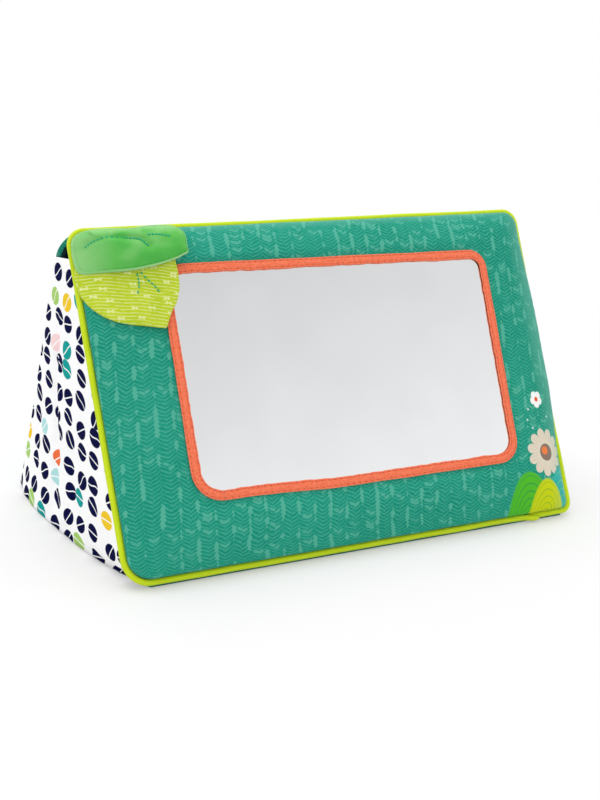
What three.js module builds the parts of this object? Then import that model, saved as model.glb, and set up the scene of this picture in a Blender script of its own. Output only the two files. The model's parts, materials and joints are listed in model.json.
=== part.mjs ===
// A baby's floor mirror: two padded panels hinged along the top by cloth, with slack cloth gussets
// at the sides, a cloth base, a framed mirror film in the front panel and two leaf flaps.
// Millimetres and degrees, +Z up, the mirror facing -Y, the origin on the floor under the middle.

import * as THREE from 'three';

// Driving dimensions of the two panels.
const PANEL_WIDTH = 368;
const PANEL_LENGTH = 242.5;
const PANEL_CORNER_RADIUS = 14;
const PANEL_SLANT = 65;
const SEAM_RISE = 3;
const APEX_GAP = 18.4;

// What every seam and layer shares.
const CLEARANCE = 0.3;
const FABRIC_THICKNESS = 1.2;
const BOARD_THICKNESS = 3;
const PIPING_RADIUS = 2.3;
const PIPING_WALL = 0.6;
const PIPING_MOUTH = 70;
const PIPING_JOINT_SHARE = 0.96;
const PIPING_END_LENGTH = 8;

// The padded face of the front panel and its window.
const FRONT_CROWN = 17.5;
const STITCH_DRAW = 1.5;
const MARGIN_SIDE = 51.9;
const MARGIN_TOP = 34.2;
const MARGIN_BOTTOM = 44.2;
const WINDOW_RADIUS = 18;
const BINDING_WIDTH = 7.7;
const BINDING_THICKNESS = 1.4;
const BINDING_LAP = 3;
const MIRROR_THICKNESS = 0.8;
const MIRROR_LAP = 3.5;
const BACKER_THICKNESS = 2;
const STITCH_RADIUS = 0.4;
const STITCH_INSET = 1.2;

// The back panel and the cloth between the panels.
const BACK_CROWN = 9;
const BACK_SHOULDER = 55;
const BACK_EDGE_INSET = 1;
const BACK_TOP_DROP = 5;
const BACK_TOP_RADIUS = 18;
const BACK_FOOT_RADIUS = 10;
const LINING_TURN = 2.8;
const HEM_DROP = 25;
const GUSSET_BULGE = 4;
const GUSSET_FLARE = 2.5;
const GUSSET_WRAP = 2;
const GUSSET_FOLD_DEPTH = 1.5;
const GUSSET_FOLDS = 3;
const BASE_RISE = 1;
const BASE_WAVE = 2.5;

// The leaf flaps, measured from the panel's upper left corner.
const LEAF_ROOT_X = 4;
const LEAF_FABRIC = 0.8;
const LEAF_FLOAT = 0.8;
const FILM_THICKNESS = 0.4;
const LIME_LEAF_LENGTH = 61;
const LIME_LEAF_DEPTH = 64;
const LIME_LEAF_DROP = 13;
const LIME_LEAF_PUFF = 1.5;
const GREEN_LEAF_LENGTH = 69.5;
const GREEN_LEAF_DEPTH = 32;
const GREEN_LEAF_DROP = 6;
const GREEN_LEAF_PUFF = 5;

// Facets.
const CORNER_STEPS = 5;
const SECTION_STEPS = 12;
const THREAD_SIDES = 6;
const LEAF_COLUMNS = 12;
const LEAF_ROWS = 8;

const COLOURS = {
  teal: 0x1f9a83, tealPlain: 0x2c8f80, lime: 0xc6dc1e, coral: 0xff7350, mirror: 0xd9dde0, foam: 0xf1efe6,
  board: 0xb9b2a3, gusset: 0xf3f5f4, limeLeaf: 0xbcd42b, greenLeaf: 0x62c05c, thread: 0x2fae9f, film: 0xe6ecee,
};

const rad = THREE.MathUtils.degToRad;
const slant = rad(PANEL_SLANT);
const halfWidth = PANEL_WIDTH / 2;

// Layers behind the seam plane of a panel, each with its front and back height.
const boardFront = -(FABRIC_THICKNESS + CLEARANCE);
const boardBack = boardFront - BOARD_THICKNESS;
const liningFront = boardBack - CLEARANCE;
const liningBack = liningFront - FABRIC_THICKNESS;
const padBack = boardFront + CLEARANCE;

// Solids.

function material(colour, roughness, metalness = 0) {
  return new THREE.MeshStandardMaterial({ color: COLOURS[colour], roughness, metalness });
}

function signedVolume(points, triangles) {
  const cross = new THREE.Vector3();
  let six = 0;
  for (const [a, b, c] of triangles) six += points[a].dot(cross.crossVectors(points[b], points[c]));
  return six;
}

// A closed body through a row of rings with equal counts. Its first and last ring are closed by the
// cap's triangles, or without a cap the last ring joins the first. Points from turnedFrom on run back
// along the inside, so their quads are split the other way, which keeps a wall's two sides parallel.
function loft(rings, cap, turnedFrom = Infinity) {
  const count = rings[0].length;
  const points = rings.flat();
  let triangles = [];
  const bands = cap ? rings.length - 1 : rings.length;
  for (let band = 0; band < bands; band++) {
    const here = band * count;
    const next = ((band + 1) % rings.length) * count;
    for (let i = 0; i < count; i++) {
      const j = (i + 1) % count;
      if (i < turnedFrom) triangles.push([here + i, here + j, next + i], [here + j, next + j, next + i]);
      else triangles.push([here + i, here + j, next + j], [here + i, next + j, next + i]);
    }
  }
  if (cap) {
    const last = (rings.length - 1) * count;
    for (const [a, b, c] of cap) triangles.push([a, c, b], [last + a, last + b, last + c]);
  }
  if (signedVolume(points, triangles) < 0) triangles = triangles.map(([a, b, c]) => [a, c, b]);
  const geometry = new THREE.BufferGeometry();
  geometry.setFromPoints(points);
  geometry.setIndex(triangles.flat());
  geometry.computeVertexNormals();
  return geometry;
}

// The cap of a ring whose points make this flat outline.
function capOf(points) {
  return THREE.ShapeUtils.triangulateShape(points.map(([x, y]) => new THREE.Vector2(x, y)), []);
}

function part(name, geometry, finish) {
  const mesh = new THREE.Mesh(geometry, finish);
  mesh.name = name;
  return mesh;
}

// Rounded rectangles in a panel's own plane: X across, Y up the slope.

function outline(left, right, bottom, top, radius, topRadius = radius) {
  return { left, right, bottom, top, radius, topRadius };
}

function inset(shape, by) {
  const { left, right, bottom, top } = shape;
  const [radius, topRadius] = [shape.radius, shape.topRadius].map((r) => Math.max(r - by, FABRIC_THICKNESS));
  return outline(left + by, right - by, bottom + by, top - by, radius, topRadius);
}

// The stations of a rounded rectangle, from the piping's joint on the bottom edge round to the right.
function stations(shape) {
  const { left, right, bottom, top } = shape;
  const joint = THREE.MathUtils.lerp(left + shape.radius, right - shape.radius, PIPING_JOINT_SHARE);
  const found = [{ x: joint, y: bottom, out: new THREE.Vector3(0, -1, 0) }];
  const corners = [[right, bottom, -90], [right, top, 0], [left, top, 90], [left, bottom, 180]];
  for (const [cornerX, cornerY, startAngle] of corners) {
    const radius = cornerY === top ? shape.topRadius : shape.radius;
    const centreX = cornerX - Math.sign(cornerX) * radius;
    const centreY = cornerY === top ? top - radius : bottom + radius;
    for (let step = 0; step <= CORNER_STEPS; step++) {
      const angle = rad(startAngle + 90 * step / CORNER_STEPS);
      const out = new THREE.Vector3(Math.cos(angle), Math.sin(angle), 0);
      found.push({ x: centreX + radius * out.x, y: centreY + radius * out.y, out });
    }
  }
  return found;
}

function ring(shape, height) {
  return stations(shape).map(({ x, y }) => new THREE.Vector3(x, y, height));
}

function flat(shape) {
  return capOf(stations(shape).map(({ x, y }) => [x, y]));
}

function plate(shape, low, high) {
  return loft([ring(shape, low), ring(shape, high)], flat(shape));
}

// A section of points [share, height], swept between an outer and an inner outline.
function frame(outer, inner, section, turnedFrom) {
  const from = stations(outer);
  const to = stations(inner);
  const rings = from.map((start, i) => section.map(([share, height]) => new THREE.Vector3(
    THREE.MathUtils.lerp(start.x, to[i].x, share), THREE.MathUtils.lerp(start.y, to[i].y, share), height)));
  return loft(rings, null, turnedFrom);
}

// A section of points [out, up] in real sizes, swept round an outline.
function edging(shape, section) {
  const rings = stations(shape).map(({ x, y, out }) => section.map(([along, up]) => new THREE.Vector3(
    x + out.x * along, y + out.y * along, up)));
  return loft(rings, null);
}

function circleSection(radius, sides, height = 0) {
  return Array.from({ length: sides }, (_, i) => {
    const angle = 2 * Math.PI * i / sides;
    return [radius * Math.cos(angle), height + radius * Math.sin(angle)];
  });
}

// A sheet between two surfaces of (u, v), in columns along u and rows along v.
function sheet(low, high, columns, rows) {
  const shares = Array.from({ length: rows + 1 }, (_, i) => i / rows);
  const rings = Array.from({ length: columns + 1 }, (_, column) => {
    const u = column / columns;
    return [...shares.map((v) => low(u, v)), ...shares.toReversed().map((v) => high(u, v))];
  });
  const back = 2 * rows + 1;
  const cap = shares.slice(1).flatMap((_, i) => [[i, i + 1, back - i - 1], [i, back - i - 1, back - i]]);
  return loft(rings, cap, rows + 1);
}

// A thread through points, with a round section.
function thread(points) {
  const curve = new THREE.CatmullRomCurve3(points);
  const section = new THREE.Shape().absarc(0, 0, STITCH_RADIUS, 0, 2 * Math.PI);
  const steps = 2 * (points.length - 1);
  return new THREE.ExtrudeGeometry(section, { extrudePath: curve, steps, curveSegments: THREAD_SIDES });
}

// The padded face. Its height is a share of the crown, at shares of the way from seam to window.

const CROWN_SHARES = [0, 0.02, 0.07, 0.15, 0.27, 0.42, 0.58, 0.72, 0.81, 0.9, 1];
const TAPE_SHARES = [0.72, 0.9];
const panelOutline = outline(-halfWidth, halfWidth, 0, PANEL_LENGTH, PANEL_CORNER_RADIUS);
const backPanelOutline = outline(-halfWidth, halfWidth, 0, PANEL_LENGTH - BACK_TOP_DROP, BACK_FOOT_RADIUS,
  BACK_TOP_RADIUS);
const coverOutline = inset(panelOutline, 2 * PIPING_RADIUS + CLEARANCE);
const bindingOutline = outline(-halfWidth + MARGIN_SIDE, halfWidth - MARGIN_SIDE, MARGIN_BOTTOM,
  PANEL_LENGTH - MARGIN_TOP, WINDOW_RADIUS);
const coverWindow = inset(bindingOutline, BINDING_LAP);
const mirrorWindow = inset(bindingOutline, BINDING_WIDTH);
const mirrorOutline = inset(mirrorWindow, -MIRROR_LAP);

// The crown climbs steeply out of the seam and flattens towards the window.
const CROWN_FALL_POWER = 2.6;
const CROWN_RISE_POWER = 0.55;

function crown(share) {
  return (1 - (1 - share) ** CROWN_FALL_POWER) ** CROWN_RISE_POWER;
}

function faceHeight(share, height) {
  return height * crown(share) - STITCH_DRAW * THREE.MathUtils.smoothstep(share, ...TAPE_SHARES);
}

const coverRim = faceHeight(1, FRONT_CROWN);
const bindingBack = coverRim + CLEARANCE;
const bindingFront = bindingBack + BINDING_THICKNESS;
const mirrorFront = coverRim;
const mirrorBack = mirrorFront - MIRROR_THICKNESS;
const backerFront = mirrorBack - CLEARANCE;
const backerBack = backerFront - BACKER_THICKNESS;

// The skin's wall is drawn in at the seam by the same thickness that it has over the crown.
function skinSection(height, span) {
  const edge = FABRIC_THICKNESS / span;
  const outside = CROWN_SHARES.map((share) => [share, faceHeight(share, height)]);
  const inside = CROWN_SHARES.toReversed().map((share) => [
    edge + (1 - edge) * share, faceHeight(share, height - FABRIC_THICKNESS)]);
  return [...outside, ...inside];
}

function frontCover() {
  return frame(coverOutline, coverWindow, skinSection(FRONT_CROWN, MARGIN_SIDE), CROWN_SHARES.length);
}

function frontPad() {
  const draw = FABRIC_THICKNESS + 2 * CLEARANCE;
  const height = FRONT_CROWN - draw;
  const outer = stations(inset(coverOutline, draw));
  const inner = stations(coverWindow);
  const pocket = inset(mirrorOutline, -CLEARANCE);
  const rings = [ring(inset(coverOutline, draw), padBack)];
  for (const share of CROWN_SHARES) {
    rings.push(outer.map((start, i) => new THREE.Vector3(THREE.MathUtils.lerp(start.x, inner[i].x, share),
      THREE.MathUtils.lerp(start.y, inner[i].y, share), faceHeight(share, height))));
  }
  const pocketFloor = backerBack - CLEARANCE;
  rings.push(ring(pocket, faceHeight(1, height)), ring(pocket, pocketFloor));
  return loft(rings, flat(pocket));
}

const TAPE_LIP_SHARE = 0.4;

function binding() {
  const lip = BINDING_THICKNESS * TAPE_LIP_SHARE;
  const edge = lip / BINDING_WIDTH;
  return frame(bindingOutline, mirrorWindow, [[0, bindingBack], [0, bindingFront - lip], [edge, bindingFront],
    [1 - edge, bindingFront], [1, bindingFront - lip], [1, bindingBack]]);
}

function stitchRow(shape) {
  return edging(shape, circleSection(STITCH_RADIUS, THREAD_SIDES, bindingFront + CLEARANCE + STITCH_RADIUS));
}

// The piping's ends cross at the joint: shares [way along, step aside] of the crossing's length and
// of the room that the two ends need.
const PIPING_START_SHARES = [[-0.5, -0.3], [0.5, -0.3], [1, 0]];
const PIPING_FINISH_SHARES = [[-1.5, 0], [-0.5, 0.7], [0.5, 0.7]];
const PIPING_DIP_SHARE = 0.3;

// A section of points [out, up] swept along the whole piping, from one crossed end to the other.
function pipingRun(section) {
  const [joint, ...round] = stations(inset(panelOutline, PIPING_RADIUS));
  const apart = 2 * PIPING_RADIUS + CLEARANCE;
  const placed = ([away, aside]) => ({ ...joint, x: joint.x + away * PIPING_END_LENGTH, lift: aside * apart });
  const path = [
    ...PIPING_START_SHARES.map(placed),
    ...round.map((station) => ({ ...station, lift: 0 })),
    ...PIPING_FINISH_SHARES.map(placed),
  ];
  const rings = path.map(({ x, y, out, lift }) => section.map(([along, up]) => new THREE.Vector3(
    x + out.x * along, y + out.y * (along + Math.max(lift, 0) * PIPING_DIP_SHARE), up + lift)));
  return loft(rings, capOf(section));
}

// The sleeve is open on the seam's side, towards the middle of the panel.
function pipingSleeve() {
  const half = rad(PIPING_MOUTH / 2);
  const arc = (radius) => Array.from({ length: SECTION_STEPS + 1 }, (_, i) => {
    const angle = -Math.PI + half + (2 * Math.PI - 2 * half) * i / SECTION_STEPS;
    return [radius * Math.cos(angle), radius * Math.sin(angle)];
  });
  return pipingRun([...arc(PIPING_RADIUS), ...arc(PIPING_RADIUS - PIPING_WALL).toReversed()]);
}

function pipingCord() {
  return pipingRun(circleSection(PIPING_RADIUS - PIPING_WALL - CLEARANCE, THREAD_SIDES));
}

// A lining lies behind a panel's board and turns under at the foot, where it rests on the floor.
function lining(panel) {
  const side = 2 * PIPING_RADIUS + CLEARANCE;
  const drop = -SEAM_RISE;
  const onSheet = (height, rise) => (rise + height * -Math.cos(slant)) / Math.sin(slant);
  const turn = FABRIC_THICKNESS;
  const top = panel.top - side;
  const toe = liningFront + LINING_TURN;
  const section = [
    [onSheet(liningBack, drop), liningBack], [top, liningBack], [top, liningFront],
    [onSheet(liningFront, drop + turn), liningFront], [onSheet(toe, drop + turn), toe], [onSheet(toe, drop), toe],
  ];
  const shape = new THREE.Shape(section.map(([y, z]) => new THREE.Vector2(y, z)));
  const geometry = new THREE.ExtrudeGeometry(shape, { depth: PANEL_WIDTH - 2 * side, bevelEnabled: false });
  geometry.translate(0, 0, -halfWidth + side);
  geometry.applyMatrix4(new THREE.Matrix4().makeBasis(
    new THREE.Vector3(0, 1, 0), new THREE.Vector3(0, 0, 1), new THREE.Vector3(1, 0, 0)));
  return geometry;
}

function board(panel) {
  return plate(inset(panel, 2 * PIPING_RADIUS + FABRIC_THICKNESS), boardBack, boardFront);
}

// The back panel has no window, so its skin and pad close over the middle.
const backOutline = inset(backPanelOutline, BACK_EDGE_INSET);

function backRings(draw, height, shares) {
  const span = BACK_SHOULDER - draw;
  return shares.map((share) => ring(inset(backOutline, draw + span * share), height * crown(share)));
}

function backCover() {
  const inside = backRings(FABRIC_THICKNESS, BACK_CROWN - FABRIC_THICKNESS, CROWN_SHARES.toReversed());
  const outside = backRings(0, BACK_CROWN, CROWN_SHARES);
  return loft([...inside, ...outside], flat(inset(backOutline, BACK_SHOULDER)));
}

function backPad() {
  const draw = PIPING_RADIUS + FABRIC_THICKNESS + CLEARANCE;
  const height = BACK_CROWN - FABRIC_THICKNESS - CLEARANCE;
  const rings = [ring(inset(backOutline, draw), padBack), ...backRings(draw, height, CROWN_SHARES)];
  return loft(rings, flat(inset(backOutline, BACK_SHOULDER)));
}

// Places on the side view: Y back from the foot of the front seam plane, Z up from the floor.

const apexY = PANEL_LENGTH * Math.cos(slant);
const apexZ = SEAM_RISE + PANEL_LENGTH * Math.sin(slant);
const backFootY = 2 * apexY + APEX_GAP;

function frontSide(depth, rise) {
  return (rise - SEAM_RISE + depth * Math.cos(slant)) / Math.tan(slant) + depth * Math.sin(slant);
}

function backSide(depth, rise) {
  return backFootY - frontSide(depth, rise);
}

const GUSSET_FLARE_POWER = 3;
const GUSSET_COLUMNS_PER_FOLD = 8;
const GUSSET_ROWS = 8;
const GUSSET_FOOT_SHARE = 0.12;

// A slack gusset, from the front piping to the back panel's edge and from the base to its hem. It
// bulges outwards, and its lower corners lift with the panels' rounded ones.
function gusset(side) {
  const top = apexZ - HEM_DROP;
  const front = halfWidth - PIPING_RADIUS;
  const back = halfWidth - BACK_EDGE_INSET + CLEARANCE + FABRIC_THICKNESS / 2;
  const lift = (radius, away) => radius * Math.max(1 - away / GUSSET_FOOT_SHARE, 0) ** 2;
  const surface = (skin) => (u, v) => {
    const bottom = BASE_RISE + lift(PANEL_CORNER_RADIUS, u) + lift(BACK_FOOT_RADIUS, 1 - u);
    const z = THREE.MathUtils.lerp(bottom, top, v);
    const y = THREE.MathUtils.lerp(frontSide(PIPING_RADIUS + CLEARANCE, z), backSide(-GUSSET_WRAP, z), u);
    const slack = Math.sin(Math.PI * u);
    const folds = Math.sin(2 * Math.PI * GUSSET_FOLDS * u + Math.PI * v);
    const bulge = slack * (GUSSET_BULGE * (1 - v) + GUSSET_FOLD_DEPTH * folds);
    const flare = GUSSET_FLARE * u * (1 - v) ** GUSSET_FLARE_POWER;
    return new THREE.Vector3(side * (THREE.MathUtils.lerp(front, back, u) + bulge + flare + skin), y, z);
  };
  const columns = GUSSET_COLUMNS_PER_FOLD * GUSSET_FOLDS;
  return sheet(surface(-FABRIC_THICKNESS / 2), surface(FABRIC_THICKNESS / 2), columns, GUSSET_ROWS);
}

const BASE_WAVES = 3;
const BASE_WAVE_SHARE = 0.4;
const BASE_COLUMNS = 12;
const BASE_ROWS = 6;

// The base runs between the turned-under feet of the two linings.
function base() {
  const reach = halfWidth - 2 * PIPING_RADIUS - FABRIC_THICKNESS;
  const from = frontSide(-liningBack, BASE_RISE) + FABRIC_THICKNESS;
  const to = backFootY - from;
  const surface = (skin) => (u, v) => {
    const ripple = BASE_WAVE_SHARE * (Math.cos(2 * Math.PI * BASE_WAVES * u) - 1);
    const wave = BASE_WAVE * Math.sin(Math.PI * v) * (1 + ripple);
    return new THREE.Vector3(THREE.MathUtils.lerp(-reach, reach, u), THREE.MathUtils.lerp(from, to, v),
      BASE_RISE + wave + skin);
  };
  return sheet(surface(0), surface(FABRIC_THICKNESS), BASE_COLUMNS, BASE_ROWS);
}

const HINGE_ROWS = 6;

// The hinge strip bridges the two top seams in a shallow arch, down to the lower one of the back.
function hingeStrip() {
  const reach = halfWidth - 2 * PIPING_RADIUS - FABRIC_THICKNESS;
  const foot = apexZ - PIPING_RADIUS * Math.sin(slant) - (PIPING_RADIUS + CLEARANCE) * Math.cos(slant);
  const from = frontSide(PIPING_RADIUS + CLEARANCE, foot) + CLEARANCE;
  const to = backFootY - from + BACK_TOP_DROP * Math.cos(slant);
  const fall = BACK_TOP_DROP * Math.sin(slant);
  const surface = (skin) => (u, v) => new THREE.Vector3(THREE.MathUtils.lerp(-reach, reach, u),
    THREE.MathUtils.lerp(from, to, v), foot - fall * v + FABRIC_THICKNESS * Math.sin(Math.PI * v) + skin);
  return sheet(surface(-FABRIC_THICKNESS / 2), surface(FABRIC_THICKNESS / 2), 1, HINGE_ROWS);
}

// Leaf flaps. Each outline is a table of shares [along, upper edge, lower edge] of the leaf's length
// and depth, and each leaf lies on the padded face and on the window's tape.

const LIME_OUTLINE_SHARES = [
  [0, 0.22, 0.55], [0.05, 0.12, 0.66], [0.13, 0.05, 0.78], [0.23, 0, 0.86], [0.38, 0, 0.93], [0.55, 0.02, 0.97],
  [0.7, 0.06, 1], [0.77, 0.09, 0.99], [0.82, 0.12, 0.9], [0.9, 0.17, 0.78], [0.96, 0.24, 0.67], [1, 0.34, 0.51],
];
const GREEN_OUTLINE_SHARES = [
  [0, 0.14, 0.87], [0.06, 0.05, 0.9], [0.2, 0.05, 0.97], [0.31, 0.06, 1], [0.47, 0.07, 0.98], [0.6, 0.03, 0.94],
  [0.75, 0, 0.87], [0.9, 0.02, 0.76], [0.97, 0.13, 0.7], [1, 0.25, 0.6],
];

function edgeShare(shares, along, column) {
  const after = Math.max(1, shares.findIndex(([at]) => at >= along));
  const [before, next] = [shares[after - 1], shares[after]];
  return THREE.MathUtils.mapLinear(along, before[0], next[0], before[column], next[column]);
}

// The height of what a leaf lies on, at x from the middle and y up the slope.
function faceUnder(x, y) {
  const fromSide = x - coverOutline.left;
  const fromTop = coverOutline.top - y;
  const round = coverOutline.radius;
  const cornerX = Math.max(round - fromSide, 0);
  const cornerY = Math.max(round - fromTop, 0);
  const fromCorner = cornerX * cornerY > 0 ? round - Math.hypot(cornerX, cornerY) : PANEL_WIDTH;
  const sideSpan = coverWindow.left - coverOutline.left;
  const topSpan = coverOutline.top - coverWindow.top;
  const share = Math.min(fromSide / sideSpan, fromTop / topSpan, fromCorner / sideSpan, 1);
  const tapeTop = bindingFront + 2 * STITCH_RADIUS + CLEARANCE;
  const tape = tapeTop * THREE.MathUtils.smoothstep(share, TAPE_SHARES[0], TAPE_SHARES[1]);
  return Math.max(FRONT_CROWN * crown(Math.max(share, 0)), tape, PIPING_RADIUS);
}

function leafPlace(leaf, u, v) {
  const upper = edgeShare(leaf.shares, u, 1);
  const lower = edgeShare(leaf.shares, u, 2);
  const x = -halfWidth + LEAF_ROOT_X + leaf.length * u;
  const y = PANEL_LENGTH - leaf.drop - leaf.depth * THREE.MathUtils.lerp(upper, lower, v);
  return [x, y];
}

// A leaf is plump but for its seamed edges.
const PUFF_POWER = 0.7;

function puffAt(leaf, u, v) {
  return leaf.puff * (Math.sin(Math.PI * u) * Math.sin(Math.PI * v)) ** PUFF_POWER;
}

// One layer of a leaf between two heights, each a floor and a share of the leaf's puff. A trimmed
// layer stays inside the others by that many columns and rows of their common grid.
function leafLayer(leaf, lowFloor, lowPuff, highFloor, highPuff, trim = 0) {
  const columns = LEAF_COLUMNS - 2 * trim;
  const rows = LEAF_ROWS - 2 * trim;
  const surface = (floor, puff) => (u, v) => {
    const along = (trim + u * columns) / LEAF_COLUMNS;
    const across = (trim + v * rows) / LEAF_ROWS;
    const [x, y] = leafPlace(leaf, along, across);
    return new THREE.Vector3(x, y, faceUnder(x, y) + floor + puff * puffAt(leaf, along, across));
  };
  return sheet(surface(lowFloor, lowPuff), surface(highFloor, highPuff), columns, rows);
}

const limeLeaf = {
  shares: LIME_OUTLINE_SHARES, length: LIME_LEAF_LENGTH, depth: LIME_LEAF_DEPTH, drop: LIME_LEAF_DROP,
  puff: LIME_LEAF_PUFF, floor: LEAF_FLOAT, fill: FILM_THICKNESS,
};
const limeTop = limeLeaf.floor + 2 * LEAF_FABRIC + FILM_THICKNESS + 2 * CLEARANCE + LIME_LEAF_PUFF;
const greenLeaf = {
  shares: GREEN_OUTLINE_SHARES, length: GREEN_LEAF_LENGTH, depth: GREEN_LEAF_DEPTH, drop: GREEN_LEAF_DROP,
  puff: GREEN_LEAF_PUFF, floor: limeTop + 2 * STITCH_RADIUS + 3 * CLEARANCE, fill: FABRIC_THICKNESS,
};

function leafBack(leaf) {
  return leafLayer(leaf, leaf.floor, 0, leaf.floor + LEAF_FABRIC, 0);
}

function leafFill(leaf) {
  const low = leaf.floor + LEAF_FABRIC + CLEARANCE;
  return leafLayer(leaf, low, 0, low + leaf.fill, FILL_PUFF_SHARE, 1);
}

function leafFace(leaf) {
  const low = leaf.floor + LEAF_FABRIC + 2 * CLEARANCE + leaf.fill;
  return leafLayer(leaf, low, 1, low + LEAF_FABRIC, 1);
}

const FILL_PUFF_SHARE = 0.9;

// A row of stitches on a leaf's face, through shares [along, across] of its outline.
function leafStitch(leaf, shares) {
  const top = leaf.floor + 2 * LEAF_FABRIC + 4 * CLEARANCE + leaf.fill + STITCH_RADIUS;
  return thread(shares.map(([along, across]) => {
    const [x, y] = leafPlace(leaf, along, across);
    return new THREE.Vector3(x, y, faceUnder(x, y) + top + puffAt(leaf, along, across));
  }));
}

const LIME_MIDRIB_SHARES = [[0.56, 0.36], [0.62, 0.46], [0.68, 0.55], [0.74, 0.62]];
const LIME_VEIN_SHARES = [[0.51, 0.38], [0.515, 0.48], [0.51, 0.56], [0.48, 0.65]];
const GREEN_MIDRIB_SHARES = [
  [0.03, 0.35], [0.1, 0.26], [0.18, 0.22], [0.3, 0.23], [0.42, 0.27], [0.52, 0.34], [0.575, 0.5],
];
const GREEN_VEIN_SHARES = [[0.61, 0.26], [0.68, 0.29], [0.75, 0.33], [0.81, 0.38]];

// Assembly.

const velour = material('teal', 0.85);
const plainCloth = material('tealPlain', 0.9);
const pipingCloth = material('lime', 0.8);
const foam = material('foam', 0.95);
const card = material('board', 0.9);
const printed = material('gusset', 0.9);
const threadFinish = material('thread', 0.7);

const frontPanel = new THREE.Group();
frontPanel.add(
  part('front_cover', frontCover(), velour),
  part('front_foam_pad', frontPad(), foam),
  part('front_board', board(panelOutline), card),
  part('front_lining', lining(panelOutline), plainCloth),
  part('mirror_backer', plate(mirrorOutline, backerBack, backerFront), card),
  part('mirror_sheet', plate(mirrorOutline, mirrorBack, mirrorFront), material('mirror', 0.08, 1)),
  part('mirror_binding', binding(), material('coral', 0.8)),
  part('binding_outer_stitch', stitchRow(inset(bindingOutline, STITCH_INSET)), material('coral', 0.7)),
  part('binding_inner_stitch', stitchRow(inset(mirrorWindow, -STITCH_INSET)), material('coral', 0.7)),
  part('front_piping', pipingSleeve(), pipingCloth),
  part('front_piping_cord', pipingCord(), foam),
);
for (const [name, leaf, midrib, vein, cloth, filling] of [
  ['lime_leaf', limeLeaf, LIME_MIDRIB_SHARES, LIME_VEIN_SHARES, material('limeLeaf', 0.85), 'crinkle_film'],
  ['green_leaf', greenLeaf, GREEN_MIDRIB_SHARES, GREEN_VEIN_SHARES, material('greenLeaf', 0.95), 'batting'],
]) {
  frontPanel.add(
    part(`${name}_back`, leafBack(leaf), cloth),
    part(`${name}_${filling}`, leafFill(leaf), material('film', 0.5)),
    part(`${name}_face`, leafFace(leaf), cloth),
    part(`${name}_midrib_stitch`, leafStitch(leaf, midrib), threadFinish),
    part(`${name}_vein_stitch`, leafStitch(leaf, vein), threadFinish),
  );
}
frontPanel.position.set(0, 0, SEAM_RISE);
frontPanel.rotation.x = slant;

const backPanel = new THREE.Group();
backPanel.add(
  part('back_cover', backCover(), velour),
  part('back_foam_pad', backPad(), foam),
  part('back_board', board(backPanelOutline), card),
  part('back_lining', lining(backPanelOutline), plainCloth),
);
backPanel.rotation.x = slant;
const backTurn = new THREE.Group();
backTurn.add(backPanel);
backTurn.rotation.z = Math.PI;
backTurn.position.set(0, backFootY, SEAM_RISE);

const toy = new THREE.Group();
toy.add(
  frontPanel,
  backTurn,
  part('top_hinge_strip', hingeStrip(), plainCloth),
  part('left_gusset', gusset(-1), printed),
  part('right_gusset', gusset(1), printed),
  part('base_panel', base(), plainCloth),
);
toy.updateMatrixWorld(true);
toy.position.y = -new THREE.Box3().setFromObject(toy, true).getCenter(new THREE.Vector3()).y;

export default toy;
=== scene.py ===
import json
import math
from collections import namedtuple

import bmesh
import bpy
from mathutils import Matrix, Vector, kdtree, noise


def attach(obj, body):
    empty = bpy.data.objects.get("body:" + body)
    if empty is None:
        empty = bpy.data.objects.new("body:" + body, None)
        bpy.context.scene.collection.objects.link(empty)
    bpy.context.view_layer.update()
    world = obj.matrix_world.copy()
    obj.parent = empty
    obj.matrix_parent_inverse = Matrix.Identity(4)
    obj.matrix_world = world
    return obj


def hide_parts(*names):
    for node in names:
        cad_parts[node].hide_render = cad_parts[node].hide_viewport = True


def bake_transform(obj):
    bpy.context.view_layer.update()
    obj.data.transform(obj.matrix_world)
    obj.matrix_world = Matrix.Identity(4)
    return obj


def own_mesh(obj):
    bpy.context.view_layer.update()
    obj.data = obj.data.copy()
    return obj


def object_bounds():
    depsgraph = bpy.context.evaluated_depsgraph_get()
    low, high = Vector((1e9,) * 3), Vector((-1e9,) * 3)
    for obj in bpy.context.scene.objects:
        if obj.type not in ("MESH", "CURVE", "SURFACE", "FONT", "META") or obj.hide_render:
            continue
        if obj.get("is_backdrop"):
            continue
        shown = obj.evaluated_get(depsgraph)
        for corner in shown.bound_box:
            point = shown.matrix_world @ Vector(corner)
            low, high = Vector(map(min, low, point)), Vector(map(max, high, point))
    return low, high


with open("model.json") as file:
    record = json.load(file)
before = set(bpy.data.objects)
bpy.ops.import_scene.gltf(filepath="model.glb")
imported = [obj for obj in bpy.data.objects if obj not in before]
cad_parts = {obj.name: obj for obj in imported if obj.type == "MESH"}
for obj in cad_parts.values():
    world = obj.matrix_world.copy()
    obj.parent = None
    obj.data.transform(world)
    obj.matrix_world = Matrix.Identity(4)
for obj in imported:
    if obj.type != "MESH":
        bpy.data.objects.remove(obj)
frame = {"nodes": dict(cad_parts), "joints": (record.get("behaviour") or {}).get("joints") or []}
cad_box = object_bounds()

# The two panels, in millimetres. In a panel's own plane X runs across, Y up the slope from the
# foot of the piping, and Z out of the padded face.

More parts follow.
